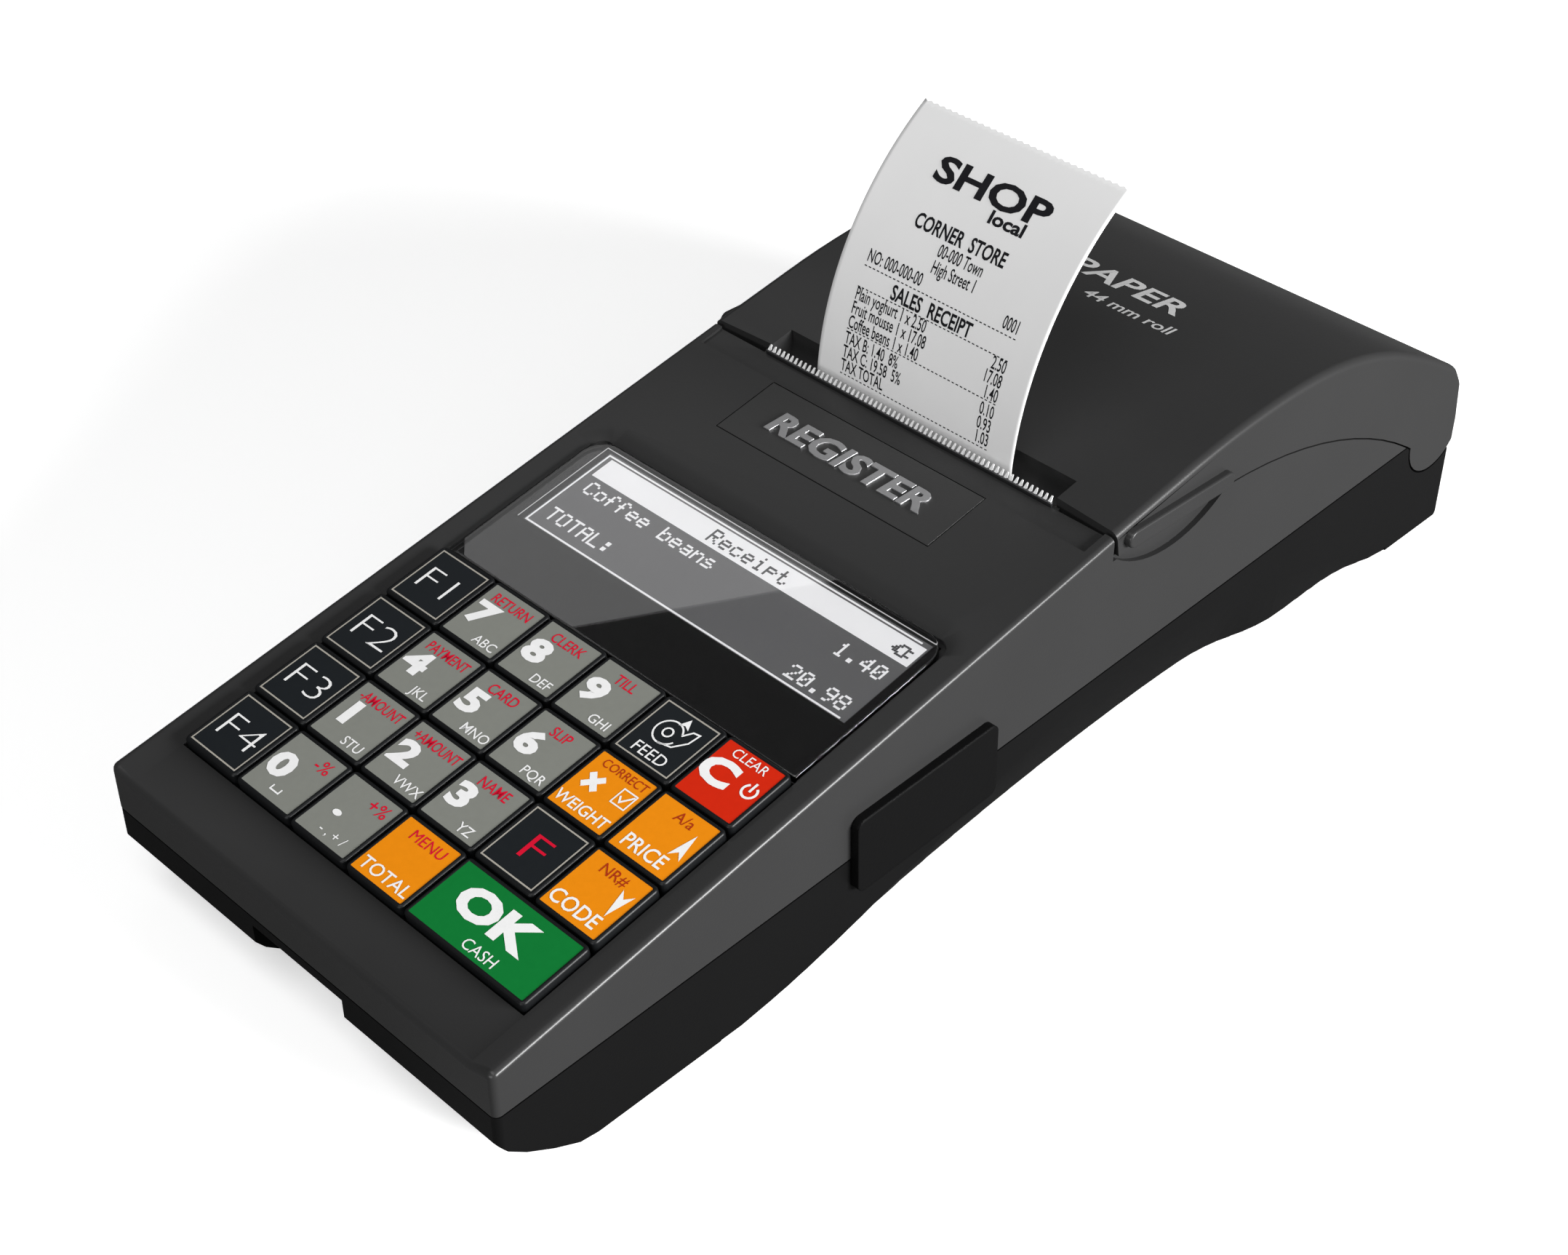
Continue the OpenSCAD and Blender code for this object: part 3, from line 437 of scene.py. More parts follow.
def deck_height(y):
    return DECK_FRONT + y * math.tan(TILT)


def deck_level(p):
    """A point's height over the deck, square to it."""
    return (p.z - deck_height(p.y)) * math.cos(TILT)


def cover_edges(p, along, normals):
    """The deck's long outer edges, up to the lid, and its front edge with the upright corners."""
    on_side = any(abs(n.x) > 0.99 for n in normals) and abs(p.x) > SIDE
    if on_side and abs(along.y) > 0.5 and p.z > deck_height(p.y) - 0.2 and p.y < 128.9:
        return 0.7
    if abs(p.y) < 0.3 and p.z > 18.5:
        return 0.8
    return 0.0


def lid_edges(p, along, normals):
    """The lid's crown rim, its rear edge and the rounded ends of its grip bars."""
    on_side = any(abs(n.x) > 0.99 for n in normals) and abs(p.x) > SIDE
    if abs(p.x) > 46:
        return 0.3
    if on_side and any(n.z > 0.2 for n in normals) and p.z > 30:
        return 1.0
    if p.y > 226 and p.z > 25 and abs(along.x) > 0.9:
        return 0.7
    return 0.0


def base_edges(p, along, normals):
    """The base's upright outside corners."""
    return 0.9 if abs(p.x) > SIDE and abs(p.y - HALF_L) > HALF_L - 0.4 and abs(along.z) > 0.5 else 0.0


def to_blade(p):
    """Carries the deck's skin 2.4 mm up the slope, over the seat of the blade."""
    v, w = p.y * math.cos(TILT) + (p.z - DECK_FRONT) * math.sin(TILT), deck_level(p)
    on_edge = abs(p.x) < 32.4 and 127.9 < v < 128.4 and w > -1.15
    return (0, 2.4 * math.cos(TILT), 2.4 * math.sin(TILT)) if on_edge else (0, 0, 0)


filleted("top_cover", "casing", "deck_shell", FILLET, cover_edges, moved=to_blade)
filleted("paper_lid", "lid", "rear_lid", FILLET, lid_edges,
         moved=lambda p: (0, -0.9, 0) if p.y < 130.4 and p.z > 44 and abs(p.x) > 32 else (0, 0, 0))
filleted("base_shell", "casing", "lower_shell", FILLET, base_edges)


# ---------------------------------------------------------------- keys
# Each legend: text, capital height, x, y, width factor, boldness, ink.
def digit(d): return (d, 4.3, -2.9, 0.05, 1.42, 0.05, "white")
def letters(t): return (t, 1.75, 2.6, -4.2, 1.0, 0.004, "white")
def red_word(t, wide=0.855): return (t, 1.95, 0.2, 3.75, wide, 0.006, "red")


LEGENDS = {
    "f1": [("F1", 5.0, 0, 0, 1.36, -0.022, "white")], "f2": [("F2", 5.0, 0, 0, 1.36, -0.022, "white")],
    "f3": [("F3", 5.0, 0, 0, 1.36, -0.022, "white")], "f4": [("F4", 5.0, 0, 0, 1.36, -0.022, "white")],
    "7": [digit("7"), letters("ABC"), red_word("RETURN", 0.828)],
    "8": [digit("8"), letters("DEF"), red_word("CLERK")],
    "9": [digit("9"), letters("GHI"), red_word("TILL")],
    "4": [digit("4"), letters("JKL"), red_word("PAYMENT", 0.756)],
    "5": [digit("5"), letters("MNO"), red_word("CARD")],
    "6": [digit("6"), letters("PQR"), red_word("SLIP")],
    "1": [digit("1"), letters("STU"), red_word("-AMOUNT", 0.738)],
    "2": [digit("2"), letters("VWX"), red_word("+AMOUNT", 0.738)],
    "3": [digit("3"), letters("YZ"), red_word("NAME")],
    "0": [digit("0"), ("-%", 2.3, 2.7, 3.6, 1.0, 0.004, "red")],
    "point": [(".", 4.3, -1.9, 1.1, 1.6, 0.03, "white"), ("- , + /", 1.6, 1.0, -3.9, 1.1, 0.0, "white"),
              ("+%", 2.3, 2.7, 3.6, 1.0, 0.004, "red")],
    "total": [("MENU", 1.9, 0.6, 3.9, 1.0, 0.0, "red"), ("TOTAL", 2.2, 0.1, -3.9, 1.06, 0.006, "white")],
    "ok": [("OK", 5.0, -1.6, 1.3, 1.36, 0.05, "white"), ("CASH", 1.9, 1.5, -4.2, 1.0, 0.0, "white")],
    "f": [("F", 5.0, 0.2, 0, 1.5, -0.012, "red")],
    "code": [("NR#", 1.9, -0.4, 4.0, 1.0, 0.0, "dark_red"), ("CODE", 2.5, -0.6, -3.6, 0.98, 0.012, "white")],
    "price": [("A/a", 1.9, 0.3, 4.0, 1.0, 0.0, "dark_red"), ("PRICE", 2.5, -0.4, -3.6, 0.92, 0.012, "white")],
    "times": [("CORRECT", 1.6, 0.4, 4.4, 0.9, 0.0, "dark_red"), ("WEIGHT", 2.0, -0.1, -4.0, 0.98, 0.01, "white")],
    "feed": [("FEED", 2.1, 0.0, -3.7, 1.05, 0.0, "white")],
    "clear": [("C", 4.6, -2.8, 0.3, 1.36, 0.05, "white"), ("CLEAR", 1.75, -0.2, 4.5, 0.95, 0.0, "white")],
}
LABEL_OF = {"ok": "green", "clear": "red", "total": "orange", "code": "orange", "times": "orange", "price": "orange",
            "f1": "black", "f2": "black", "f3": "black", "f4": "black", "f": "black", "feed": "black"}


def symbols(name):
    """The drawn signs of a key, as (points, faces, ink) in millimetres."""
    if name == "0":
        return [(*stroke([(-0.6, -3.3), (-0.6, -4.2), (1.3, -4.2), (1.3, -3.3)], 0.28), "white")]
    if name == "times":
        arm, cut = 1.75, 0.8
        corner = np.array([(cut, 0), (arm, arm - cut), (arm - cut, arm)])
        turned = [corner @ np.array([(math.cos(a), math.sin(a)), (-math.sin(a), math.cos(a))])
                  for a in (0, math.pi / 2, math.pi, 1.5 * math.pi)]
        cross = np.concatenate(turned) + (-2.6, 0.6)
        return [(cross, [tuple(range(12))], "white"),
                (*stroke([(2.15, -0.4), (4.95, -0.4), (4.95, 2.6), (2.15, 2.6)], 0.26, True), "white"),
                (*stroke([(2.65, 1.3), (3.35, 0.3), (4.75, 2.3)], 0.34), "white")]
    if name in ("price", "code"):
        up = 1 if name == "price" else -1
        dart = np.array([(3.8, 3.1), (5.0, -2.0), (3.8, -0.7), (2.6, -2.0)])
        if up < 0:
            dart = dart * (-1, -1) + (7.6, 1.0)
        return [(dart, [(0, 3, 2), (0, 2, 1)], "white")]
    if name == "feed":
        return [(*stroke(disc((-0.9, 0.9), 2.35, 25, 335, 28), 0.3), "white"),
                (*stroke(disc((-0.9, 0.9), 0.85, 0, 345, 16), 0.3, True), "white"),
                (*stroke([(-0.9, -1.45), (1.6, -0.9), (3.2, 1.2), (3.5, 3.4), (2.3, 3.2), (1.3, 1.6)], 0.3), "white"),
                (np.array([(0.3, 4.9), (-0.75, 2.9), (0.3, 3.4), (1.35, 2.9)]), [(0, 1, 2), (0, 2, 3)], "white")]
    if name == "clear":
        return [(*stroke(disc((3.7, 0.3), 1.25, 125, 415, 20), 0.42), "white"),
                (*stroke([(3.7, 0.2), (3.7, 2.1)], 0.42), "white")]
    return []


def key_cap(name, row, column):
    """A key: rounded rectangles piled up, from the skirt (inset 0) over a rim of radius 0.5 mm to a
    shallow dish, whose floor is the printed label; the legends lie 0.03 mm above it."""
    wide = 2 if name == "ok" else 1
    half_x, half_y = (wide * PITCH_X - KEY_GAP) / 2, (PITCH_V - KEY_GAP) / 2
    cx = -3 * PITCH_X + (column + wide / 2) * PITCH_X
    cv = KEY_START + (row + 0.5) * PITCH_V
    rim = 0.5
    turn = np.radians(np.linspace(0, 90, 6))
    profile = [(0.0, -3.4), (0.0, -1.2)]
    profile += [(rim * (1 - math.cos(a)), -rim * (1 - math.sin(a))) for a in turn]
    profile += [(0.60, -0.02), (0.66, -0.07), (0.70, -0.08)]
    rings = []
    for inset, height in profile:
        x, y = rounded_ring(half_x - inset, half_y - inset, max(0.9 - inset, 0.2))
        rings.append((x, y, np.full(len(x), height)))
    shape = Shape()
    points = np.concatenate([deck(cx + x, cv + y, KEY_TOP + h) for x, y, h in rings])
    faces = stack(rings, close_last=False)
    shape.add(points, faces, FINISHES["grey_key"])
    last = rings[-1]
    n = len(last[0])
    kind = LABEL_OF.get(name, "grey")
    shape.add(deck(cx + last[0], cv + last[1], KEY_TOP + last[2]), [tuple(range(n))], LABEL[kind])
    level = KEY_TOP - 0.05
    if kind == "black":
        edge_x, edge_y = half_x - 0.98, half_y - 0.98
        line = [(edge_x, edge_y), (-edge_x, edge_y), (-edge_x, -edge_y), (edge_x, -edge_y)]
        p, f = stroke(line, 0.26, True)
        shape.add(deck(cx + p[:, 0], cv + p[:, 1], level), f, INK["border"])
    for text, height, x, y, stretch, bold, ink in LEGENDS[name]:
        p, f = lettering(text, height, (x, y), stretch, bold)
        shape.add(deck(cx + p[:, 0], cv + p[:, 1], level), f, INK[ink])
    for p, f, ink in symbols(name):
        shape.add(deck(cx + p[:, 0], cv + p[:, 1], level), f, INK[ink])
    return shape.object("keycap_" + name, "key_" + name, True, ["key_" + name])


for row, names in enumerate(ROWS):
    for column, name in enumerate(names):
        flat_shading(key_cap(name, row, column), 35)


# ---------------------------------------------------------------- screen
def on_screen(shape, drawn, finish, level):
    points, faces = drawn
    shape.add(deck(points[:, 0], points[:, 1], level), faces, finish)


def bar(x0, x1, v0, v1):
    return np.array([(x0, v0), (x1, v0), (x1, v1), (x0, v1)], float), [(0, 1, 2, 3)]


def screen():
    """The picture on the screen: a grey field, a light header bar, a frame line and dot letters."""
    field = lit("screen_field", (0.100, 0.100, 0.101), 1.0)
    bright = lit("screen_bright", (0.80, 0.80, 0.80), 1.05)
    dark = lit("screen_dark", (0.07, 0.07, 0.075), 0.3)
    shape = Shape()
    x0, x1, v0, v1 = -35.4, 36.0, 77.4, 96.4
    level = -2.07
    on_screen(shape, bar(x0 - 0.4, x1 + 1.1, v0 - 0.3, v1 + 0.5), field, level)
    on_screen(shape, bar(x0 + 1.0, x1 + 0.8, v1 - 5.15, v1 - 0.5), bright, level + 0.02)
    on_screen(shape, stroke([(x1 - 0.6, v1), (x0, v1), (x0, v0), (x1, v0)], 0.36), bright, level + 0.03)
    on_screen(shape, dotted("Receipt", 3, 0.9, v1 - 4.4), dark, level + 0.05)
    on_screen(shape, dotted("Coffee beans", 3, -17.5, v0 + 10.0), bright, level + 0.05)
    on_screen(shape, dotted("1.40", 3, 30.6, v0 + 9.0), bright, level + 0.05)
    on_screen(shape, dotted("TOTAL:", 3, -25.8, v0 + 2.0), bright, level + 0.05)
    on_screen(shape, dotted("20.98", 3, 29.2, v0 + 1.0), bright, level + 0.05)
    plug = [(0, 2), (1, 2), (1, 3), (2, 3), (2, 4), (3, 4), (3, 5), (4, 5), (5, 5), (6, 5), (6, 4), (7, 4), (8, 4),
            (6, 3), (6, 2), (6, 1), (7, 1), (8, 1), (6, 0), (5, 0), (4, 0), (3, 0), (3, 1), (2, 1), (2, 2), (1, 1)]
    spots = np.array(plug, float) * 0.42 + (32.0, v1 - 4.3)
    corner = np.array([(0, 0), (1, 0), (1, 1), (0, 1)]) * 0.4
    points = (spots[:, None, :] + corner[None]).reshape(-1, 2)
    on_screen(shape, (points, np.arange(len(points)).reshape(-1, 4).tolist()), dark, level + 0.05)
    return shape.object("screen_picture", "casing", False)


def window_ring(half_x, v0, v1, corner, inset, n=8):
    """The window's outline: square corners at the keys and round ones at the rear, pulled in evenly."""
    a = np.radians(np.linspace(0, 90, n + 1))
    r, small = max(corner - inset, 0.1), 0.25
    x1, top, low = half_x - inset, v1 - inset, v0 + inset
    x = np.concatenate([x1 - r + r * np.cos(a), -x1 + r - r * np.sin(a), [-x1, -x1 + small, x1 - small, x1]])
    v = np.concatenate([top - r + r * np.sin(a), top - r + r * np.cos(a), [low + small, low, low, low + small]])
    return x, v


def display_window():
    """The smoked window: a slab 1.4 mm thick with a polished edge of 0.3 mm, and under it the black printed mask
    round the screen, with a grey line that glows along the left and rear edges of its opening: a painted highlight in
    place of a bevelled rim that catches light."""
    half, v0, v1, corner = 39.64, 64.16, 98.3, 4.6
    turn = np.radians(np.linspace(0, 90, 5))
    profile = [(0.0, -1.4), (0.0, -0.3)] + [(0.3 * (1 - math.cos(a)), -0.3 * (1 - math.sin(a))) for a in turn]
    profile.append((0.5, 0.0))
    rings = []
    for inset, height in profile:
        x, v = window_ring(half, v0, v1, corner, inset)
        rings.append((x, v, np.full(len(x), WINDOW_TOP + height)))
    shape = Shape()
    shape.add(np.concatenate([deck(*ring) for ring in rings]), stack(rings, close_first=True),
              FINISHES["display_glass"])
    flat_shading(shape.object("window_pane", "casing", True, ["display_window"]), 35)

    mask = Shape()
    level = -1.86
    hole = (-36.9, 37.4, 76.9, 97.4)
    outer = (-half + 0.2, half - 0.2, v0 + 0.2, v1 - 0.6)
    for x0, x1, a0, a1 in ((outer[0], hole[0], outer[2], 94.0), (hole[1], outer[1], outer[2], 94.0),
                           (hole[0], hole[1], outer[2], hole[2])):
        p, f = bar(x0, x1, a0, a1)
        mask.add(deck(p[:, 0], p[:, 1], level), f, MASK)
    x, v = window_ring(half - 0.2, v0, v1 - 0.2, corner, 0)
    rim = [(half - 0.2, 94.0)] + [(a, b) for a, b in zip(x, v) if b > 94.0] + [(-half + 0.2, 94.0)]
    rim += [(hole[0], 94.0), (hole[0], hole[3]), (hole[1], hole[3]), (hole[1], 94.0)]
    rim = np.array(rim)
    mask.add(deck(rim[:, 0], rim[:, 1], level), [tuple(range(len(rim)))], MASK)
    # painted highlight: a thin grey line that glows along the opening's left and rear edges, standing in for light
    # caught on a bevelled rim
    line, faces = stroke([(hole[0], hole[2]), (hole[0], hole[3]), (hole[1], hole[3])], 0.2)
    mask.add(deck(line[:, 0], line[:, 1], level + 0.02), faces, lit("mask_rim", (0.5, 0.5, 0.5), 1.0))
    mask.object("window_mask", "casing", False)


# Seven rows from the top down, each a number in base 16 whose five bits are the dots of that row.
DOTS = {
    "A": "0E 11 11 1F 11 11 11", "C": "0E 11 10 10 10 11 0E", "L": "10 10 10 10 10 10 1F",
    "O": "0E 11 11 11 11 11 0E", "R": "1E 11 11 1E 14 12 11", "T": "1F 04 04 04 04 04 04",
    "a": "00 00 0E 01 0F 11 0F", "b": "10 10 16 19 11 11 1E", "c": "00 00 0E 10 10 11 0E",
    "e": "00 00 0E 11 1F 10 0E", "f": "06 09 08 1C 08 08 08", "i": "04 00 0C 04 04 04 0E",
    "n": "00 00 16 19 11 11 11", "o": "00 00 0E 11 11 11 0E", "p": "00 00 1E 11 1E 10 10",
    "s": "00 00 0E 10 0E 01 1E", "t": "08 08 1C 08 08 09 06", " ": "00 00 00 00 00 00 00",
    ":": "00 0C 0C 00 0C 0C 00", ".": "00 00 00 00 00 0C 0C", "0": "0E 11 13 15 19 11 0E",
    "1": "04 0C 04 04 04 04 0E", "2": "0E 11 01 02 04 08 1F", "4": "02 06 0A 12 1F 02 02",
    "8": "0E 11 11 0E 11 11 0E", "9": "0E 11 11 0F 01 02 0C",
}


def dotted(text, height, middle, bottom):
    """Letters of a 5 by 7 dot display: one small square per lit dot, six columns to a letter."""
    pitch = height / 7
    spots = []
    for k, letter in enumerate(text):
        for r, bits in enumerate(DOTS[letter].split()):
            spots += [(k * 6 + c, 6 - r) for c in range(5) if int(bits, 16) >> (4 - c) & 1]
    at = np.array(spots, float) * pitch + (middle - len(text) * 3 * pitch, bottom)
    corner = np.array([(0, 0), (1, 0), (1, 1), (0, 1)]) * pitch * 0.99
    points = (at[:, None, :] + corner[None]).reshape(-1, 2)
    return points, np.arange(len(points)).reshape(-1, 4).tolist()


screen()
display_window()


# ---------------------------------------------------------------- plate, tear bar and lid lettering
def plate_word():
    shape = Shape()
    p, f = lettering("REGISTER", 4.6, (-1.2, 118.6), 1.24, 0.034, lean=0.16)
    rim = Counter(frozenset(e) for face in f for e in zip(face, face[1:] + face[:1]))
    n = len(p)
    walls = [(a, a + n, b + n, b) for face in f for a, b in zip(face, face[1:] + face[:1])
             if rim[frozenset((a, b))] == 1]
    shape.add(np.concatenate([deck(p[:, 0], p[:, 1], 0.28), deck(p[:, 0], p[:, 1], 0.0)]), f + walls, INK["silver"])
    return shape.object("plate_lettering", "casing", False)


plate_word()


def prism(outline, half):
    """A profile (v, w) on the deck carried across from -half to half, with its ends closed."""
    v, w = np.array(outline).T
    n = len(outline)
    points = np.concatenate([deck(np.full(n, e), v, w) for e in (-half, half)])
    sides = [(n + i, n + (i + 1) % n, (i + 1) % n, i) for i in range(n)]
    return points, sides + [tuple(range(n)), tuple(range(n, 2 * n))[::-1]]


def tear_bar():
    """The blade: a thin steel edge 0.3 mm high behind the deck, and a row of bright teeth, each a
    leaning wedge 0.6 mm wide that rises 1.1 mm over the slot."""
    shape = Shape()
    half, v1 = 32.0, 131.1
    shape.add(*prism([(v1 - 0.5, 0.22), (v1 - 0.35, 0.3), (v1 - 0.1, 0.3), (v1, 0.2), (v1, -0.9), (v1 - 0.5, -0.9)],
                     half), BLADE)
    count = 62
    pitch = 2 * half / count
    left = -half + pitch * (np.arange(count) + 0.2)
    profile = np.array([(0.0, v1 - 0.3, 0.25), (0.62, v1 - 0.3, 0.25), (0.62, v1, 0.15), (0.0, v1, 0.15),
                        (0.34, v1 + 0.35, 1.15), (0.62, v1 + 0.35, 1.15), (0.62, v1 + 0.5, 1.1),
                        (0.34, v1 + 0.5, 1.1)])
    x = left[:, None] + profile[None, :, 0]
    points = deck(x, np.broadcast_to(profile[None, :, 1], x.shape), np.broadcast_to(profile[None, :, 2], x.shape))
    box = np.array([(0, 1, 5, 4), (1, 2, 6, 5), (2, 3, 7, 6), (3, 0, 4, 7), (4, 5, 6, 7), (3, 2, 1, 0)])
    shape.add(points, (box[None] + 8 * np.arange(count)[:, None, None]).reshape(-1, 4).tolist(), INK["white"])
    return shape.object("tear_blade", "casing", False, ["tear_bar"])


tear_bar()


def lid_word():
    """Two lines of plain pale letters on the lid's crown, set on its curve."""
    shape = Shape()
    path, heading = crown(LID_LEGS, (130.3, 48.44), math.degrees(TILT), 20)
    length = np.concatenate([[0], np.cumsum(np.linalg.norm(np.diff(path, axis=0), axis=1))])

    def onto(p):
        s = p[:, 1]
        y, z = np.interp(s, length, path[:, 0]), np.interp(s, length, path[:, 1])
        a = np.radians(np.interp(s, length, heading))
        return side(p[:, 0], y - 0.04 * np.sin(a), z + 0.04 * np.cos(a))

    p, f = lettering("PAPER", 5.2, (3.4, 52.6), 1.2, 0.02, lean=0.12)
    shape.add(onto(p), f, INK["pale"])
    p, f = lettering("44 mm roll", 2.6, (9.6, 45.4), 1.15, 0.012, lean=0.12)
    shape.add(onto(p), f, INK["pale"])
    return shape.object("lid_lettering", "lid", False)


# ---------------------------------------------------------------- receipt
LID_LEGS = [(16, 0), (26, -9), (11, -5.6), (28.5, -23), (21, -7.5)]


def crown(legs, start, heading, n=14):
    """Points along a chain of arcs: each leg turns evenly by its angle over its length."""
    points, headings = [np.array([start], float)], [np.array([heading], float)]
    at, turn = np.array(start, float), heading
    for leg, angle in legs:
        steps = np.arange(1, n + 1) / n
        head = turn + angle * (steps - 0.5 / n)
        move = np.stack([np.cos(np.radians(head)), np.sin(np.radians(head))], 1) * leg / n
        points.append(at + np.cumsum(move, 0))
        headings.append(turn + angle * steps)
        at, turn = points[-1][-1], turn + angle
    return np.concatenate(points), np.concatenate(headings)


STRIP_HALF = 21.8
STRIP_BEND = (131.0, 48.2)


def strip_surface(x, s, off):
    """The paper's face: straight up to the blade, then an even curl backwards. s runs from the blade
    (0) to the top edge (50 mm), off is the height above the printed side. The curl's angle at s is
    84 - 51 s / 50 degrees, so y and z are its integrals along s; below the blade s is negative."""
    s = np.asarray(s, float)
    k = math.radians(51) / 50
    a0 = math.radians(84)
    turn = a0 - k * np.maximum(s, 0)
    y = STRIP_BEND[0] + (np.sin(a0) - np.sin(turn)) / k
    z = STRIP_BEND[1] + (np.cos(turn) - np.cos(a0)) / k + np.minimum(s, 0)
    normal = np.where(s > 0, turn, math.pi / 2) + math.pi / 2
    wave = 0.35 * np.sin(np.maximum(s, 0) / 50 * math.pi) * (np.asarray(x, float) / STRIP_HALF) ** 2
    off = off + wave
    return side(x, y + off * np.cos(normal), z + off * np.sin(normal))


def receipt():
    """The printed strip, a bent grid with a torn zigzag top edge."""
    across, along = 63, 70
    x = np.linspace(-STRIP_HALF, STRIP_HALF, across)
    s = np.linspace(-13.6, 50, along)
    grid_x, grid_s = np.meshgrid(x, s, indexing="ij")
    grid_s = grid_s - np.where(grid_s > 49, np.abs((np.arange(across)[:, None] % 2)) * 0.35, 0)
    front = strip_surface(grid_x, grid_s, 0.0)
    i, j = np.meshgrid(np.arange(across - 1), np.arange(along - 1), indexing="ij")
    a = (i * along + j).ravel()
    faces = np.stack([a, a + along, a + along + 1, a + 1], 1)
    shape = Shape()
    shape.add(front, faces.tolist(), FINISHES["paper"])
    made = shape.object("printed_strip", "lid", True, ["receipt_strip"])
    skin = made.modifiers.new("thickness", "SOLIDIFY")
    skin.thickness, skin.offset = 0.00008, -1.0
    return made


def receipt_print():
    """The print on the strip: generic words and figures, bent onto the paper's curve."""
    shape = Shape()
    title, small = (0.022, 0.72), (0.008, 0.56)
    lines = [
        ("SHOP", 4.4, 40.4, 0.0, "CENTER", 0.03, 1.5), ("local", 2.2, 36.6, 5.6, "CENTER", 0.03, 1.3),
        ("CORNER  STORE", 2.5, 31.2, -1.0, "CENTER", *title), ("00-000 Town", 2.2, 28.2, 0.8, "CENTER", *small),
        ("High Street 1", 2.2, 25.4, 0.8, "CENTER", *small), ("NO: 000-000-00", 2.2, 22.6, -16.6, "LEFT", *small),
        ("0001", 2.2, 22.6, 16.4, "RIGHT", *small), ("SALES  RECEIPT", 2.5, 18.7, -1.0, "CENTER", *title),
        ("Plain yoghurt 1 x 2.50", 2.2, 15.9, -16.6, "LEFT", *small), ("2.50", 2.2, 15.9, 16.4, "RIGHT", *small),
        ("Fruit mousse 1 x 17.08", 2.2, 13.4, -16.6, "LEFT", *small), ("17.08", 2.2, 13.4, 16.4, "RIGHT", *small),
        ("Coffee beans 1 x 1.40", 2.2, 10.9, -16.6, "LEFT", *small), ("1.40", 2.2, 10.9, 16.4, "RIGHT", *small),
        ("TAX B: 1.40  8%", 2.2, 8.0, -16.6, "LEFT", *small), ("0.10", 2.2, 8.0, 16.4, "RIGHT", *small),
        ("TAX C: 19.58  5%", 2.2, 5.5, -16.6, "LEFT", *small), ("0.93", 2.2, 5.5, 16.4, "RIGHT", *small),
        ("TAX TOTAL", 2.2, 3.0, -16.6, "LEFT", *small), ("1.03", 2.2, 3.0, 16.4, "RIGHT", *small)]
    for text, height, s, x, align, bold, wide in lines:
        p, f = lettering(text, height, (x, s), wide, bold, side_by=align)
        shape.add(strip_surface(p[:, 0], p[:, 1], 0.05), f, INK["black"])
    for s in (20.7, 17.0, 9.5, 1.3):
        for x in np.arange(-16.6, 16.2, 0.9):
            p, f = bar(x, x + 0.5, s - 0.09, s + 0.09)
            shape.add(strip_surface(p[:, 0], p[:, 1], 0.05), f, INK["black"])
    return shape.object("receipt_print", "lid", False)


receipt()
receipt_print()
lid_word()


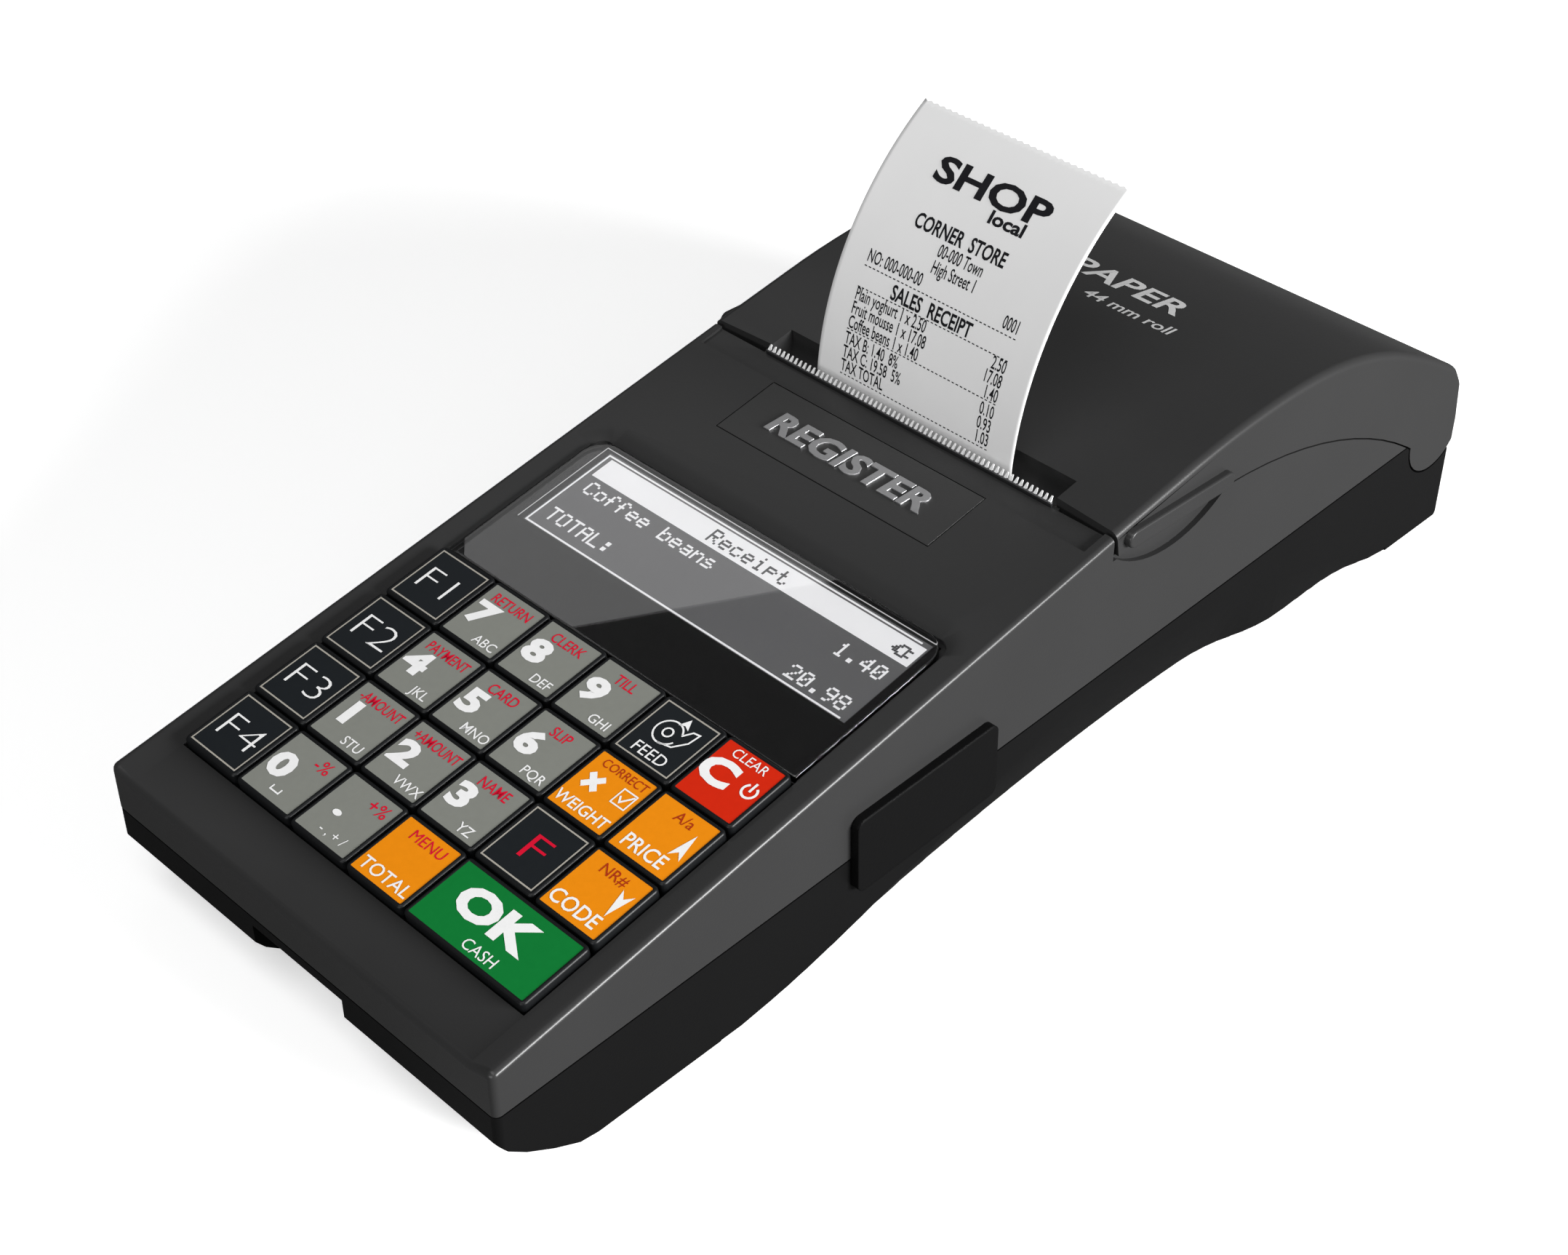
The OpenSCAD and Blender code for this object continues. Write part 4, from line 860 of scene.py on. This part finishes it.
# ---------------------------------------------------------------- floor, lights, camera
def studio():
    """A pale floor, a pale surround and soft lamps; the camera stands in front, to the right. The
    floor and the surround look pale but give back little light, as in a room with dark walls."""
    floor_finish = Finish("floor")
    tone = floor_finish.noise(4, 2.0)
    seen = floor_finish.node("ShaderNodeLightPath")
    reach = floor_finish.node("ShaderNodeVectorMath", {"operation": "LENGTH"}, {0: floor_finish.place()}, out=1)
    glow = floor_finish.mix(reach.step(0.35, 1.2), (0.5, 0.5, 0.5), (1.0, 1.0, 1.0))
    pale = floor_finish.mix(tone, (0.84, 0.84, 0.84), (0.88, 0.88, 0.88))
    floor_finish.surface(base_color=floor_finish.mix(seen, (0.14, 0.14, 0.14), pale), roughness=0.8,
                         specular_ior_level=0.0, emission_strength=1.0,
                         emission_color=floor_finish.mix(seen, (0.0, 0.0, 0.0), glow))
    mesh = bpy.data.meshes.new("floor")
    r = 3.0
    mesh.from_pydata([(-r, -r, 0), (r, -r, 0), (r, r, 0), (-r, r, 0)], [], [(0, 1, 2, 3)])
    mesh.materials.append(floor_finish.material)
    floor = bpy.data.objects.new("floor", mesh)
    bpy.context.scene.collection.objects.link(floor)

    world = bpy.data.worlds.new("surround")
    world.use_nodes = True
    nodes, links = world.node_tree.nodes, world.node_tree.links
    path = nodes.new("ShaderNodeLightPath")
    mix = nodes.new("ShaderNodeMix")
    mix.data_type = "FLOAT"
    mix.inputs[2].default_value, mix.inputs[3].default_value = 0.12, 1.0
    links.new(path.outputs["Is Camera Ray"], mix.inputs[0])
    links.new(mix.outputs[0], nodes["Background"].inputs["Strength"])
    nodes["Background"].inputs["Color"].default_value = (1, 1, 1, 1)
    bpy.context.scene.world = world

    def lamp(name, place, aim, size, power, along=None):
        """A rectangle of light; along is the direction of its long side, if that matters."""
        data = bpy.data.lights.new(name, "AREA")
        data.shape, data.size, data.size_y, data.energy = "RECTANGLE", size[0], size[1], power
        made = bpy.data.objects.new(name, data)
        back = (Vector(place) - Vector(aim)).normalized()
        if along is None:
            turn = (-back).to_track_quat("-Z", "Y")
        else:
            x = Vector(along).normalized()
            turn = Matrix([x, back.cross(x), back]).transposed().to_quaternion()
        made.location = place
        made.rotation_mode = "QUATERNION"
        made.rotation_quaternion = turn
        bpy.context.scene.collection.objects.link(made)
        return made

    lamp("side_lamp", (0.93, 0.22, 0.29), (0, 0, 0.03), (0.5, 0.22), 26.0)
    lamp("top_lamp", (0.10, -0.50, 1.0), (0, 0, 0.03), (0.8, 0.5), 5.2)
    lamp("front_lamp", (0.20, -0.95, 0.22), (0, 0, 0.06), (0.6, 0.25), 3.4)
    # the soft box whose straight edge lies as a slanting line across the display window
    first, second = Vector((-0.628, 0.214, 0.8)), Vector((-0.517, 0.326, 0.8))
    edge = (second - first).normalized()
    out = Vector((-edge.y, edge.x, 0))
    wide, deep = 0.28, 0.22
    centre = (first + second) / 2 + out * deep / 2
    lamp("window_box", centre, centre - Vector((0, 0, 1)), (wide, deep), 0.20, edge)

    data = bpy.data.cameras.new("camera")
    data.lens, data.sensor_width, data.sensor_fit = 60.14, 36.0, "HORIZONTAL"
    data.clip_start, data.clip_end = 0.01, 20
    camera = bpy.data.objects.new("camera", data)
    camera.location = (0.2391, -0.2552, 0.2923)
    camera.rotation_mode = "QUATERNION"
    camera.rotation_quaternion = Vector((-0.5501, 0.5541, -0.6249)).to_track_quat("-Z", "Y")
    bpy.context.scene.collection.objects.link(camera)
    bpy.context.scene.camera = camera
    bpy.context.scene.view_settings.view_transform = "Standard"


studio()
